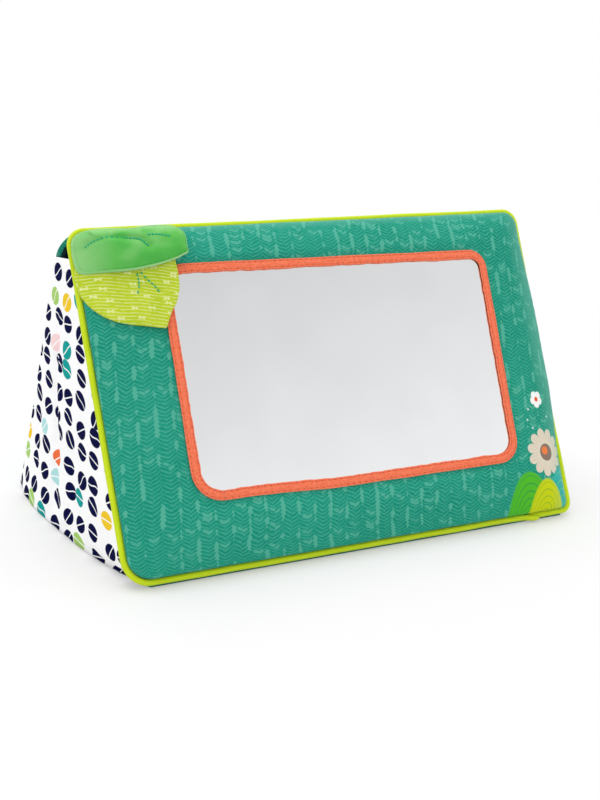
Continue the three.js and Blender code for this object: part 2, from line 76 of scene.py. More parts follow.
WIDTH, LENGTH = 368, 242.5
SLANT = math.radians(65)
APEX_GAP = 18.4  # between the two panels' top edges
PIPING_RADIUS = 2.3
CROWN_HEIGHT, STITCH_DRAW = 17.5, 1.5  # the padding, and how far the window's stitches draw it down
SEAM_LIFT = 0.9  # how high the padding stands at the piping
BACK_CROWN, BACK_SHOULDER = 9, 55  # the back's padding, and how far in it has its height
BACK_TOP_DROP = 5  # the back panel is shorter by this
TAPE_WIDTH, TAPE_THICKNESS, TAPE_MIDDLE = 7.2, 1.4, 17.0
STITCH_PITCH, STITCH_INSET = 4.9, 1.3
LINING_MIDDLE, LINING_BACK = -5.4, -6.0  # the heights of the lining's middle and of its outside
GUSSET_TOP = 197.8
CLOTH = 0.9  # the thickness of a plain cloth
SHARPEST_CORNER = 1.2

fold = next(joint for joint in frame["joints"] if joint["name"] == "back_fold")
apex = Vector(fold["pos_m"]) * 1000
run, rise = LENGTH * math.cos(SLANT), LENGTH * math.sin(SLANT)
front_foot = apex.y - APEX_GAP / 2 - run
back_foot = apex.y + APEX_GAP / 2 + run
seam_rise = apex.z - rise

ROOM = Matrix.Scale(0.001, 4)
LEAN = Matrix.Rotation(SLANT, 4, "X")
FRONT = ROOM @ Matrix.Translation((0, front_foot, seam_rise)) @ LEAN
BACK = ROOM @ Matrix.Translation((0, back_foot, seam_rise)) @ Matrix.Rotation(math.pi, 4, "Z") @ LEAN

# An outline's corner radii go round from the lower right corner.

Outline = namedtuple("Outline", "left right bottom top radii")


def inset(shape, by):
    radii = tuple(max(radius - by, SHARPEST_CORNER) for radius in shape.radii)
    return Outline(shape.left + by, shape.right - by, shape.bottom + by, shape.top - by, radii)


PANEL = Outline(-WIDTH / 2, WIDTH / 2, 0, LENGTH, (9, 12.5, 13, 19))
COVER = inset(PANEL, 2 * PIPING_RADIUS - 0.4)
TAPE = Outline(-131.3, 132.1, 44.7, 208.3, (17, 14, 18, 21.5))
WINDOW = inset(TAPE, 3)
BACK_PANEL = Outline(-WIDTH / 2, WIDTH / 2, 0, LENGTH - BACK_TOP_DROP, (10, 22, 22, 10))
BACK_COVER = inset(BACK_PANEL, 1)
SHOULDER = inset(BACK_COVER, BACK_SHOULDER)._replace(radii=(24, 24, 24, 24))

EDGE_STEPS = (150, 14, 96, 14) * 2  # of a long side, a corner, a short side and a corner, twice
ROUND_STEPS = sum(EDGE_STEPS)


def facing(angle):
    return Vector((math.cos(angle), math.sin(angle)))


def sides(shape):
    """Each straight side's two ends, the middle and radius of the corner after it, and the angle that
    the side faces, from the bottom side round to the right."""
    left, right, bottom, top, radii = shape
    inwards = ((-1, 1), (-1, -1), (1, -1), (1, 1))
    corners = ((right, bottom), (right, top), (left, top), (left, bottom))
    middles = [Vector(corner) + radius * Vector(inward)
               for corner, radius, inward in zip(corners, radii, inwards)]
    for side in range(4):
        angle = math.radians(90 * side - 90)
        out = facing(angle)
        start, end = middles[side - 1] + out * radii[side - 1], middles[side] + out * radii[side]
        yield start, end, middles[side], radii[side], angle


def around(shape, share):
    """A place on an outline, its outward direction and how far round it is. Equal shares of any two
    outlines lie on the same side or corner."""
    steps = (share % 1) * ROUND_STEPS
    gone = 0
    for number, (start, end, middle, radius, angle) in enumerate(sides(shape)):
        straight, corner = EDGE_STEPS[2 * number], EDGE_STEPS[2 * number + 1]
        if steps <= straight:
            along_side = steps / straight
            return start.lerp(end, along_side), facing(angle), gone + along_side * (end - start).length
        steps -= straight
        gone += (end - start).length
        if steps <= corner or number == 3:
            turned = math.pi / 2 * steps / corner
            out = facing(angle + turned)
            return middle + out * radius, out, gone + radius * turned
        steps -= corner
        gone += radius * math.pi / 2


def length_round(shape):
    return sum((end - start).length + radius * math.pi / 2 for start, end, _, radius, _ in sides(shape))


def along(shape, distance):
    """The place and outward direction at a distance round an outline."""
    distance %= length_round(shape)
    for start, end, middle, radius, angle in sides(shape):
        straight, corner = (end - start).length, radius * math.pi / 2
        if distance <= straight:
            return start.lerp(end, distance / straight), facing(angle)
        distance -= straight
        if distance <= corner:
            out = facing(angle + distance / radius)
            return middle + out * radius, out
        distance -= corner
    return start, facing(angle)


def smooth(value, start, end):
    """From 0 at the start to 1 at the end, with soft ends."""
    share = min(max((value - start) / (end - start), 0), 1)
    return share * share * (3 - 2 * share)


def uneven(x, y, size, seed):
    """Gentle unevenness from -1 to 1, of that size in millimetres."""
    return noise.noise(Vector((x / size, y / size, seed)))


def mix(a, b, share):
    return a + (b - a) * share


FOOT_SHIFT, TOP_SHIFT = (1.2, -1.6), (-2.8, -0.7)  # to the right, at each edge's left and right end


def out_of_true(place):
    """The front panel's edge was sewn a little out of square, wider at the upper left than below, and
    the upper left corner hangs a little."""
    across, up = place[0] / WIDTH + 0.5, place[1] / LENGTH
    shift = mix(mix(*FOOT_SHIFT, across), mix(*TOP_SHIFT, across), up)
    return Vector((place[0] + shift, place[1] - up * (1 - across)))


def piece(name, work, finish, body=None):
    """A finished mesh object from a bmesh, with its faces outwards, riding on its body."""
    bmesh.ops.recalc_face_normals(work, faces=work.faces)
    mesh = bpy.data.meshes.new(name)
    work.to_mesh(mesh)
    work.free()
    made = bpy.data.objects.new(name, mesh)
    bpy.context.scene.collection.objects.link(made)
    mesh.materials.append(finish)
    mesh.shade_smooth()
    if body:
        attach(made, body)
    return made


SAME_PLACE = 1e-6


def sewn(columns, rows, place, to_room):
    """Cloth or padding from a grid of cells: place(u, v) gives a point in millimetres and the cloth's
    own coordinates there, and edges that meet are merged."""
    work = bmesh.new()
    pattern = work.loops.layers.uv.new("cloth")
    bmesh.ops.create_grid(work, x_segments=columns, y_segments=rows, size=0.5)
    placed = {vert: place(vert.co.x + 0.5, vert.co.y + 0.5) for vert in work.verts}
    for face in work.faces:
        for loop in face.loops:
            loop[pattern].uv = placed[loop.vert][1]
    for vert, (point, _) in placed.items():
        vert.co = to_room @ point
    bmesh.ops.remove_doubles(work, verts=work.verts, dist=SAME_PLACE)
    return work


def stitches(name, places, length, width, finish, body):
    """Separate small stitches, each at a place with its direction and the cloth's outward one."""
    work = bmesh.new()
    for point, ahead, out in places:
        ahead, out = ahead.normalized(), out.normalized()
        across = out.cross(ahead)
        turn = Matrix((ahead, across, out)).transposed().to_4x4()
        shape = Matrix.Diagonal((length / 2, width / 2, width / 2, 1))
        bmesh.ops.create_uvsphere(work, u_segments=8, v_segments=6, radius=1,
                                  matrix=ROOM @ Matrix.Translation(point) @ turn @ shape)
    return piece(name, work, finish, body)


# Finishes. Their patterns' lengths are in millimetres too.

CHEVRON_COLUMN, CHEVRON_ROW = 12.4, 2.7
COLUMN_LEAN = 0.09
SEED_PITCH, SEED_STRETCH, SEED_HEIGHT = 17.0, 1.4, 0.73
HEM, HEM_STITCH = 196, 191
WAVY_ROW, WAVY_LEAN, KNOT_PITCH, KNOT_STRETCH = 2.25, 0.19, 12.6, 1.5
RIM_SEAM = 1.7  # how far in from the green leaf's rim its seam shows


def tint(red, green, blue):
    """A colour as it is seen on a screen, from 0 to 255, as a shader's light levels."""
    levels = [(c / 255) for c in (red, green, blue)]
    return tuple(c / 12.92 if c <= 0.04045 else ((c + 0.055) / 1.055) ** 2.4 for c in levels) + (1,)


def math_node(operation, swapped=False):
    """A method that joins a Math node to its wire."""
    def method(wire, *others):
        values = (*others, wire) if swapped else (wire, *others)
        return wire.nodes.node("ShaderNodeMath", {"operation": operation}, dict(enumerate(values)))
    return method


class Wire:
    """An output of a node. Sums with it add Math nodes."""

    def __init__(self, nodes, socket):
        self.nodes, self.socket = nodes, socket

    __add__ = __radd__ = math_node("ADD")
    __mul__ = __rmul__ = math_node("MULTIPLY")
    __sub__, __rsub__ = math_node("SUBTRACT"), math_node("SUBTRACT", True)
    __truediv__, __pow__, __abs__ = math_node("DIVIDE"), math_node("POWER"), math_node("ABSOLUTE")
    fraction, whole, root = math_node("FRACT"), math_node("FLOOR"), math_node("SQRT")
    sine, cosine, angle_from = math_node("SINE"), math_node("COSINE"), math_node("ARCTAN2")
    larger = math_node("MAXIMUM")

    def fade(self, start, end, low=0.0, high=1.0):
        """Low up to start and high from end on, whichever of the two is larger."""
        return self.nodes.node("ShaderNodeMapRange", {"interpolation_type": "LINEAR"},
                               {0: self, 1: start, 2: end, 3: low, 4: high})

    def beside(self, output):
        """Another output of the same node."""
        return Wire(self.nodes, self.socket.node.outputs[output])


class Nodes:
    """A tree of nodes under way."""

    def __init__(self, tree):
        self.tree = tree

    def node(self, kind, settings=None, sockets=None, output=0):
        made = self.tree.nodes.new(kind)
        for key, value in (settings or {}).items():
            if key == "stops":
                ramp = made.color_ramp
                while len(ramp.elements) < len(value):
                    ramp.elements.new(0.5)
                for element, (place, colour) in zip(ramp.elements, value):
                    element.position, element.color = place, colour
            elif key == "steps":
                made.color_ramp.interpolation = value
            else:
                setattr(made, key, value)
        for key, value in (sockets or {}).items():
            self.connect(made.inputs[key], value)
        return None if output is None else Wire(self, made.outputs[output])

    def connect(self, socket, value):
        if isinstance(value, Wire):
            self.tree.links.new(value.socket, socket)
        else:
            socket.default_value = value

    def parts(self, vector):
        first = self.node("ShaderNodeSeparateXYZ", {}, {0: vector})
        return [first.beside(i) for i in range(3)]

    def over(self, share, under, over):
        """One shader over another."""
        return self.node("ShaderNodeMixShader", {}, {0: share, 1: under, 2: over})


class Finish(Nodes):
    """A material under way. Constants go on the shader's own sockets."""

    def __init__(self, name, **constants):
        self.material = bpy.data.materials.new(name)
        self.material.use_nodes = True
        super().__init__(self.material.node_tree)
        self.shader = self.tree.nodes["Principled BSDF"]
        for socket, value in constants.items():
            self.shader.inputs[socket.replace("_", " ")].default_value = value

    def cloth(self):
        """The place in the cloth, in millimetres."""
        return self.node("ShaderNodeUVMap", {"uv_map": "cloth"})

    def solid(self):
        """The place in the object, in millimetres."""
        place = self.node("ShaderNodeTexCoord", output="Object")
        return self.node("ShaderNodeVectorMath", {"operation": "SCALE"}, {0: place, "Scale": 1000.0})

    def point(self, x, y, z=0.0):
        return self.node("ShaderNodeCombineXYZ", {}, {0: x, 1: y, 2: z})

    def noise(self, vector, size, detail=2.0, roughness=0.5):
        """Soft noise around a half, its grain about that many millimetres."""
        return self.node("ShaderNodeTexNoise", {"noise_dimensions": "3D"}, {
            "Vector": vector, "Scale": 1.0 / size, "Detail": detail, "Roughness": roughness})

    def blend(self, share, under, over):
        return self.node("ShaderNodeMix", {"data_type": "RGBA"}, {0: share, 6: under, 7: over}, output=2)

    def paint(self, colour, roughness, bump, height, strength):
        """Joins the colour, roughness and a bump of that many millimetres to the shader."""
        normal = self.node("ShaderNodeBump", {}, {
            "Strength": strength, "Distance": height / 1000, "Height": bump})
        for socket, value in (("Base Color", colour), ("Roughness", roughness), ("Normal", normal)):
            self.connect(self.shader.inputs[socket], value)
        return self.material


def weave(finish, vector, pitch):
    """The over and under of a plain weave, from 0 to 1."""
    x, y, _ = finish.parts(vector)
    warp, weft = x * (2 * math.pi / pitch), y * (2 * math.pi / pitch)
    return warp.sine() * weft.sine() * 0.5 + 0.5


def oval(x, y, centre, radii):
    """Distance from the middle of an oval, 1 on its edge."""
    across, up = (x - centre[0]) / radii[0], (y - centre[1]) / radii[1]
    return (across * across + up * up).root()


def blossom(x, y, centre, radius, petals, turn):
    """Distance from the middle of a blossom in its petals' own lengths, 1 on their edges."""
    across, up = x - centre[0], y - centre[1]
    lobes = abs(((up.angle_from(across) + turn) * (petals / 2)).cosine())
    reach = (lobes ** 0.45) * (0.34 * radius) + 0.66 * radius
    return (across * across + up * up).root() / reach


DAISY, SMALL_BLOOM = (343.0, 47.0), (342.5, 88.0)
DOTS = ((332.0, 81.0), (329.5, 73.0), (333.5, 66.5), (352.0, 74.0))


def corner_picture(finish, x, y, colour):
    """Round hills and a daisy in the lower right corner, over a ground colour."""
    def lay(distance, over, edge):
        return finish.blend(distance.fade(1 + edge, 1 - edge), colour, over)

    bloom = blossom(x, y, DAISY, radius=18.5, petals=11, turn=0.0)
    colour = lay(bloom, tint(226, 214, 194), 0.02)
    veins = ((y - DAISY[1]).angle_from(x - DAISY[0]) * 33.0).sine()
    ribs = bloom.fade(1.0, 0.9) * bloom.fade(0.45, 0.6) * veins.fade(0.7, 1.0)
    colour = finish.blend(ribs * 0.5, colour, tint(190, 172, 150))
    colour = lay(oval(x, y, DAISY, (6.6, 6.6)), tint(141, 116, 104), 0.04)
    colour = lay(oval(x, y, (DAISY[0] - 1.2, DAISY[1] + 1.4), (3.2, 3.2)), tint(242, 128, 70), 0.08)
    colour = lay(blossom(x, y, SMALL_BLOOM, radius=6.6, petals=5, turn=0.4), tint(250, 250, 248), 0.05)
    colour = lay(oval(x, y, SMALL_BLOOM, (1.9, 1.9)), tint(233, 96, 55), 0.1)
    for centre in DOTS:
        colour = lay(oval(x, y, centre, (0.9, 0.9)), tint(190, 226, 214), 0.3)
    hills = (
        ((322.0, -1.0), (19.0, 35.0), tint(84, 188, 40), tint(34, 140, 84)),
        ((357.0, -4.0), (20.0, 38.0), tint(24, 172, 166), tint(110, 206, 92)),
        ((338.5, -6.0), (16.0, 33.0), tint(204, 214, 20), tint(112, 178, 44)),
    )
    for centre, radii, ground, line in hills:
        hill = oval(x, y, centre, radii)
        colour = lay(hill, ground, 0.03)
        bands = abs((hill * 6.0).fraction() - 0.5).fade(0.1, 0.03) * hill.fade(0.96, 0.9)
        colour = finish.blend(bands * 0.8, colour, line)
    return colour


def velour(name, picture):
    """Short velour, printed with rows of light chevrons between broken feathered stems. With the
    corner picture, a painted sheen makes it paler where it turns over the right and top edges."""
    made = Finish(name, Sheen_Weight=0.4, Sheen_Roughness=0.22, Specular_IOR_Level=0.05)
    cloth = made.cloth()
    x, y, _ = made.parts(cloth)
    x = x + WIDTH / 2
    wander = made.noise(cloth, 9.0) - 0.5
    drift = made.noise(cloth, 38.0) - 0.5

    # The columns turn aside where the cloth rounds the top and the bottom edge.
    rounded_off = y.fade(LENGTH - 14, LENGTH + 9, 0.0, 6.0) + y.fade(14, -9, 0.0, 6.0)
    column = (x - y * COLUMN_LEAN - rounded_off + wander * 1.7 + drift * 3.4) / CHEVRON_COLUMN
    stem = abs((column + 0.5).fraction() - 0.5) * CHEVRON_COLUMN
    left_arm = (column.fraction() - 0.5).fade(-0.01, 0.01)
    offset = made.noise(made.point(column.whole() * 5.3, left_arm * 3.1), 1.0, 0.0) * 2.0
    wobble = (made.noise(cloth, 3.4, 1.0) - 0.5) * 1.5
    drooped = ((stem + 0.2) ** 0.7) * 1.02 + wobble + wander * 2.4 + drift * 6.0
    row = (y + drooped) / CHEVRON_ROW + offset + left_arm * 0.35
    ridge = abs(row.fraction() - 0.5)

    # Light lines with dark ones between them, thick or missing stems, and a few filled rows.
    worn = made.noise(cloth, 3.4, 2.0).fade(0.3, 0.5, 0.35, 1.0)
    line = ridge.fade(0.22, 0.09) * worn * stem.fade(0.0, 6.0, 0.5, 0.95)
    shade = ridge.fade(0.36, 0.47) * made.noise(cloth, 4.6, 1.0).fade(0.45, 0.6)
    number = (column + 0.5).whole()
    thick = made.noise(made.point(number * 7.7, y / 10.0), 1.0, 1.0).fade(0.45, 0.58, -0.7, 1.3)
    feather = thick + ridge.fade(0.4, 0.1, 0.0, 1.7) * made.noise(cloth, 2.5, 1.0)
    stroke = (feather - stem).fade(-0.3, 0.4)
    filled = made.noise(made.point(column.whole() * 9.1, row.whole() * 3.7), 1.0, 0.0)
    blot = filled.fade(0.62, 0.64) * stem.fade(2.2, 3.2) * ridge.fade(0.48, 0.4)
    light = (line * 0.74).larger(stroke * 0.95).larger(blot * 0.85)
    nap = made.noise(cloth, 60.0, 2.0)
    ground = made.blend(nap.fade(0.3, 0.7), tint(28, 144, 120), tint(36, 152, 128))
    ground = made.blend(shade * 0.6, ground, tint(14, 118, 96))
    colour = made.blend(light * 0.95, ground, tint(88, 178, 154))
    if picture:
        colour = corner_picture(made, x, y, colour)
        # Painted sheen: paler towards the right and top edges, where the cloth turns over them.
        turned = x.fade(WIDTH - 24, WIDTH + 2).larger(y.fade(LENGTH - 10, LENGTH + 2))
        colour = made.blend(turned * 0.45, colour, tint(136, 198, 182))
    pile = made.noise(cloth, 0.6, 3.0, 0.7)
    colour = made.blend(pile.fade(0.2, 0.8, 0.14, 0.0), colour, tint(14, 92, 78))
    tuft = made.noise(cloth, 4.0, 3.0, 0.6) * 0.6 + pile * 0.4
    return made.paint(colour, made.noise(cloth, 9.0).fade(0.3, 0.7, 0.82, 0.96), tuft, 0.4, 0.6)


def bias_cloth():
    """Bias-cut cotton drawn over a cord: a fine slanted weave and short pulls across it."""
    made = Finish("lime_bias_cloth", Sheen_Weight=0.1, Specular_IOR_Level=0.25)
    cloth = made.cloth()
    x, y, _ = made.parts(cloth)
    slanted = made.point(x + y, y - x)
    threads = weave(made, slanted, 0.9)
    pulls = made.noise(made.point(x, y / 4.0), 2.6, 3.0)
    colour = made.blend(made.noise(cloth, 30.0).fade(0.3, 0.7), tint(197, 219, 10), tint(209, 228, 32))
    colour = made.blend(threads.fade(0.1, 0.6, 0.16, 0.0), colour, tint(160, 190, 10))
    return made.paint(colour, 0.78, threads * 0.3 + pulls * 0.7, 0.35, 0.8)


def tape_weave():
    """Ribbed binding tape, mottled, with small needle holes along its two rows of stitches, dented and
    darkened with painted shade.
    """
    made = Finish("coral_tape_weave", Sheen_Weight=0.1, Specular_IOR_Level=0.2)
    cloth = made.cloth()
    x, y, _ = made.parts(cloth)
    threads = weave(made, cloth, 0.8)
    mottled = made.noise(cloth, 2.2, 3.0, 0.6)
    colour = made.blend(mottled.fade(0.3, 0.7), tint(232, 104, 66), tint(252, 134, 98))
    middle = y - TAPE_WIDTH / 2
    edge = abs(middle).fade(2.9, 3.8)
    colour = made.blend(edge * mottled.fade(0.4, 0.7, 0.0, 0.6), colour, tint(252, 168, 138))
    row = abs(middle) - (TAPE_WIDTH / 2 - STITCH_INSET)
    step = (abs((x / STITCH_PITCH + 0.5).fraction() - 0.5)) * STITCH_PITCH
    needle_hole_and_shade = (row * row + step * step).root().fade(0.6, 0.2)
    colour = made.blend(abs(row).fade(0.55, 0.1) * 0.25, colour, tint(206, 84, 56))
    # Painted shade in the needle holes.
    colour = made.blend(needle_hole_and_shade * 0.75, colour, tint(132, 50, 30))
    colour = made.blend(threads.fade(0.1, 0.5, 0.2, 0.0), colour, tint(212, 88, 56))
    return made.paint(colour, 0.82, threads * 0.4 + mottled * 0.5 - needle_hole_and_shade * 0.8, 0.35, 0.8)


def thread_finish(name, colour, shade):
    made = Finish(name, Specular_IOR_Level=0.1)
    place = made.solid()
    x, y, z = made.parts(place)
    twist = ((x + y * 0.7 + z * 1.3) * 9.0).sine()
    # Painted shade: the darker colour lies in the grooves of the twist, which the bump dents too.
    return made.paint(made.blend(twist.fade(-1.0, 0.6), shade, colour), 0.62, twist, 0.05, 0.5)


def mirror_film():
    """Bright film over its backer, slightly wavy, with a soft haze."""
    made = Finish("mirror_film_sheet", Metallic=1.0)
    place = made.solid()
    wave = made.noise(place, 70.0, 1.0) * 0.8 + made.noise(place, 18.0, 1.0) * 0.05
    haze = made.noise(place, 45.0, 2.0)
    colour = made.blend(haze.fade(0.3, 0.7), tint(242, 243, 244), tint(246, 247, 248))
    return made.paint(colour, haze.fade(0.3, 0.7, 0.05, 0.1), wave, 0.5, 0.35)


def seed_print():
    """White plain weave with a scatter of split seeds in several colours, wider than they are tall."""
    made = Finish("printed_side_cotton", Specular_IOR_Level=0.04)
    cloth = made.cloth()
    x, y, _ = made.parts(cloth)
    x = x / SEED_STRETCH
    flat = made.point(x, y)
    settings = {"voronoi_dimensions": "2D", "feature": "F1"}
    sockets = {"Vector": flat, "Scale": 1 / SEED_PITCH, "Randomness": 0.4}
    cell = made.node("ShaderNodeTexVoronoi", settings, sockets, output="Position")
    middle_x, middle_y, _ = made.parts(cell)
    kind, turn, size = made.parts(cell.beside("Color"))
    across, up = (x - middle_x) * SEED_STRETCH, y - middle_y
    half = size.fade(0.0, 1.0, 8.3, 9.3)
    tilted = (up - across * (turn - 0.5) * 0.3) / (half * SEED_HEIGHT)
    body = ((across / half) * (across / half) + tilted * tilted).root()
    angle = (turn - 0.58) * 1.6
    cosine, sine = angle.cosine(), angle.sine()
    ahead, aside = across * cosine + up * sine, up * cosine - across * sine
    slit = abs(aside + (ahead * 0.36).sine() * (size - 0.3)).fade(0.3, 0.62)
    seed = body.fade(1.02, 0.96) * slit * y.fade(HEM, HEM - 0.4)
    colours = made.node("ShaderNodeValToRGB", {"steps": "CONSTANT", "stops": [
        (0.0, tint(0, 4, 60)), (0.66, tint(238, 115, 65)), (0.73, tint(240, 200, 45)),
        (0.8, tint(20, 155, 150)), (0.86, tint(176, 222, 222)), (0.92, tint(248, 214, 216)),
        (0.96, tint(166, 206, 110))]}, {0: kind})
    ground = made.blend(made.noise(cloth, 40.0).fade(0.3, 0.7), tint(251, 251, 252), tint(254, 254, 254))
    threads = weave(made, cloth, 0.7)
    ground = made.blend(threads.fade(0.1, 0.5, 0.06, 0.0), ground, tint(150, 156, 168))
    hem = abs(y - HEM_STITCH).fade(0.9, 0.3)
    ground = made.blend(hem * 0.3, ground, tint(196, 202, 212))
    colour = made.blend(seed, ground, colours)
    bump = threads * 0.25 + made.noise(cloth, 7.0, 3.0) * 0.75 - hem * 0.4
    return made.paint(colour, 0.86, bump, 0.5, 0.6)


def plain_cloth(name, light, middle, dark):
    """Plain weave of the linings, hinge and base."""
    made = Finish(name, Specular_IOR_Level=0.1)
    cloth = made.cloth()
    threads = weave(made, cloth, 0.9)
    colour = made.blend(made.noise(cloth, 24.0).fade(0.3, 0.7), middle, light)
    colour = made.blend(threads.fade(0.1, 0.5, 0.2, 0.0), colour, dark)
    return made.paint(colour, 0.88, threads * 0.4 + made.noise(cloth, 12.0, 3.0) * 0.6, 0.5, 0.6)


def lime_print():
    """Lime cotton with fine pale wavy lines, pinched together here and there in small knots."""
    made = Finish("lime_wavy_print", Sheen_Weight=0.05, Specular_IOR_Level=0.15)
    cloth = made.cloth()
    x, y, _ = made.parts(cloth)
    sway = made.noise(made.point(x, y * 0.3), 13.0, 2.0) - 0.5
    leaning = x * WAVY_LEAN
    row = (y + leaning + sway * 2.6) / WAVY_ROW
    worn = made.noise(made.point(x * 0.3, y), 1.6, 2.0).fade(0.34, 0.5)
    line = abs(row.fraction() - 0.5).fade(0.24, 0.08) * worn
    settings = {"voronoi_dimensions": "2D", "feature": "F1"}
    sockets = {"Vector": made.point(x, y * KNOT_STRETCH), "Scale": 1 / KNOT_PITCH, "Randomness": 0.9}
    spot_x, spot_y, _ = made.parts(made.node("ShaderNodeTexVoronoi", settings, sockets, output="Position"))
    across, up = abs(x - spot_x), abs(y + leaning - spot_y / KNOT_STRETCH - spot_x * WAVY_LEAN)
    knot = (up - across * 0.5).fade(0.5, 0.15) * across.fade(2.4, 1.7)
    ground = made.blend(made.noise(cloth, 16.0).fade(0.3, 0.7), tint(180, 203, 26), tint(197, 214, 44))
    colour = made.blend((line * 0.62).larger(knot * 0.9), ground, tint(232, 240, 164))
    threads = weave(made, cloth, 0.8)
    colour = made.blend(threads.fade(0.1, 0.5, 0.1, 0.0), colour, tint(140, 168, 26))
    crackle = made.noise(cloth, 9.0, 3.0, 0.55)
    return made.paint(colour, crackle.fade(0.3, 0.7, 0.7, 0.86), crackle * 0.7 + threads * 0.3, 0.7, 0.7)


def leaf_velour():
    """Green velour, paler in patches of its nap, with painted sheen at the root, along the top and on the
    rim, and painted shade in dots along the rim's seam.
    """
    made = Finish("green_leaf_velour", Sheen_Weight=0.4, Sheen_Roughness=0.25,
                  Sheen_Tint=tint(200, 240, 190), Specular_IOR_Level=0.05)
    cloth = made.cloth()
    x, y, _ = made.parts(cloth)
    nap = made.noise(cloth, 13.0, 2.0)
    pile = made.noise(made.point(x + y, (y - x) * 0.4), 0.45, 3.0, 0.7)
    # Painted sheen: paler at the root and along the top, where the leaf curves away.
    root = (x + WIDTH / 2 + nap * 16).fade(8, 30, 1.0, 0.0)
    top = (y - LENGTH + nap * 10).fade(-9, -3)
    patches = made.noise(cloth, 24.0, 1.0).fade(0.52, 0.75, 0.0, 0.7)
    pale = root.larger(top).larger(patches) * nap.fade(0.2, 0.5, 0.5, 1.0)
    colour = made.blend(nap.fade(0.35, 0.65), tint(82, 180, 78), tint(100, 190, 88))
    colour = made.blend(pale * 0.85, colour, tint(154, 210, 138))
    inward = made.node("ShaderNodeAttribute", {"attribute_name": "inward"}, output=2)
    shown = x.fade(-WIDTH / 2 + 6, -WIDTH / 2 + 34, 0.3, 1.0)
    # Painted shade: broken dark dots along the seam in from the rim.
    seam = abs(inward - RIM_SEAM).fade(0.45, 0.15) * made.noise(cloth, 1.2).fade(0.42, 0.52) * shown
    colour = made.blend(seam * 0.55, colour, tint(36, 124, 50))
    # Painted sheen: a pale line along the rim.
    colour = made.blend(inward.fade(1.3, 0.6) * shown * 0.75, colour, tint(184, 226, 168))
    colour = made.blend(pile.fade(0.25, 0.75, 0.22, 0.0), colour, tint(52, 140, 52))
    return made.paint(colour, 0.86, nap * 0.5 + pile * 0.5, 0.6, 0.7)


def board_finish(name, colour, shade):
    """Pressed board: short flat fibres, a little darker here and there."""
    made = Finish(name)
    place = made.solid()
    x, y, z = made.parts(place)
    fibre = made.noise(made.point(x * 0.3, y, z), 1.2, 4.0, 0.6)
    colour = made.blend(fibre.fade(0.3, 0.7), shade, colour)
    return made.paint(colour, fibre.fade(0.3, 0.7, 0.7, 0.9), fibre, 0.15, 1.0)


FRONT_VELOUR = velour("front_velour_print", True)
BACK_VELOUR = velour("back_velour_print", False)
PIPING_CLOTH = bias_cloth()
TAPE_CLOTH = tape_weave()
CORAL_THREAD = thread_finish("coral_sewing_thread", tint(244, 122, 86), tint(222, 96, 62))
TEAL_THREAD = thread_finish("teal_embroidery_thread", tint(50, 190, 142), tint(28, 150, 110))
SIDE_PRINT = seed_print()
PLAIN_CLOTH = plain_cloth("teal_plain_weave", tint(34, 128, 110), tint(24, 112, 98), tint(12, 76, 66))
# A much darker copy of the teal plain weave: painted shade for the back lining, seen in the dark gap between
# the panels.
SHADED_BACK_LINING_CLOTH = plain_cloth("shaded_plain_weave", tint(14, 34, 42), tint(8, 24, 32), tint(4, 14, 22))
LIME_PRINT = lime_print()
LEAF_VELOUR = leaf_velour()
BOARD = board_finish("pressed_board", tint(196, 186, 164), tint(168, 156, 132))
MIRROR_FILM = mirror_film()

for name in ("front_board", "back_board", "mirror_backer"):
    frame["nodes"][name].data.materials[0] = BOARD
frame["nodes"]["mirror_sheet"].data.materials[0] = MIRROR_FILM


# The padded faces.

def crown(share):
    return (1 - (1 - share) ** 2.6) ** 0.55


def swell(share, height):
    return height * crown(share) - STITCH_DRAW * smooth(share, 0.72, 0.9)


SPARE_STEPS = 60


def spare_cloth(height, span):
    """How much longer the cloth is than its plan, from each share of the way in to the window."""
    shares = [i / SPARE_STEPS for i in range(SPARE_STEPS + 1)]
    spare = [0.0]
    for start, end in zip(shares[-2::-1], shares[:0:-1]):
        plan = span * (end - start)
        spare.append(spare[-1] + math.hypot(plan, swell(end, height) - swell(start, height)) - plan)
    spare.reverse()

    def at(share):
        low = min(int(share * SPARE_STEPS), SPARE_STEPS - 1)
        return mix(spare[low], spare[low + 1], share * SPARE_STEPS - low)
    return at


SIDE_BAND = 44
front_spare = spare_cloth(CROWN_HEIGHT, SIDE_BAND)
back_spare = spare_cloth(BACK_CROWN, BACK_SHOULDER)


def puckers(seam, reach):
    """Small gathers along the seam, which die out within a few millimetres of it."""
    x, y = seam
    gathers = 0.34 * uneven(x, y, 4.6, 7.1) + 0.2 * uneven(x, y, 13, 2.4)
    return gathers * math.exp(-reach / 9) * smooth(reach, 0, 3)


WINDOW_WIDER, WINDOW_FALL, WINDOW_DROP = 2.0, 1.3, 1.0  # at its upper right, up the right side, at its foot
CORNER_LIFT = 2.8  # of its lower left corner


def window_place(place):
    """The window was sewn a little out of square, its upper right corner and its foot most."""
    across, up = place.x / TAPE.right, (place.y - TAPE.bottom) / (TAPE.top - TAPE.bottom)
    lift = CORNER_LIFT * smooth(-place.x, 15, 95) * (1 - up) ** 2
    lift = lift - WINDOW_FALL * across * up - WINDOW_DROP * (1 - up)
    return place + Vector((WINDOW_WIDER * max(across, 0) * up, lift))


FACE_END, RIM_END = 0.74, 0.8  # shares of the cover's rows: its face, the window's rim, then its back
RIM_TOP, RIM_FOOT = 16, 13
OVERHANG, OVERHANG_AT = 2.4, 0.06


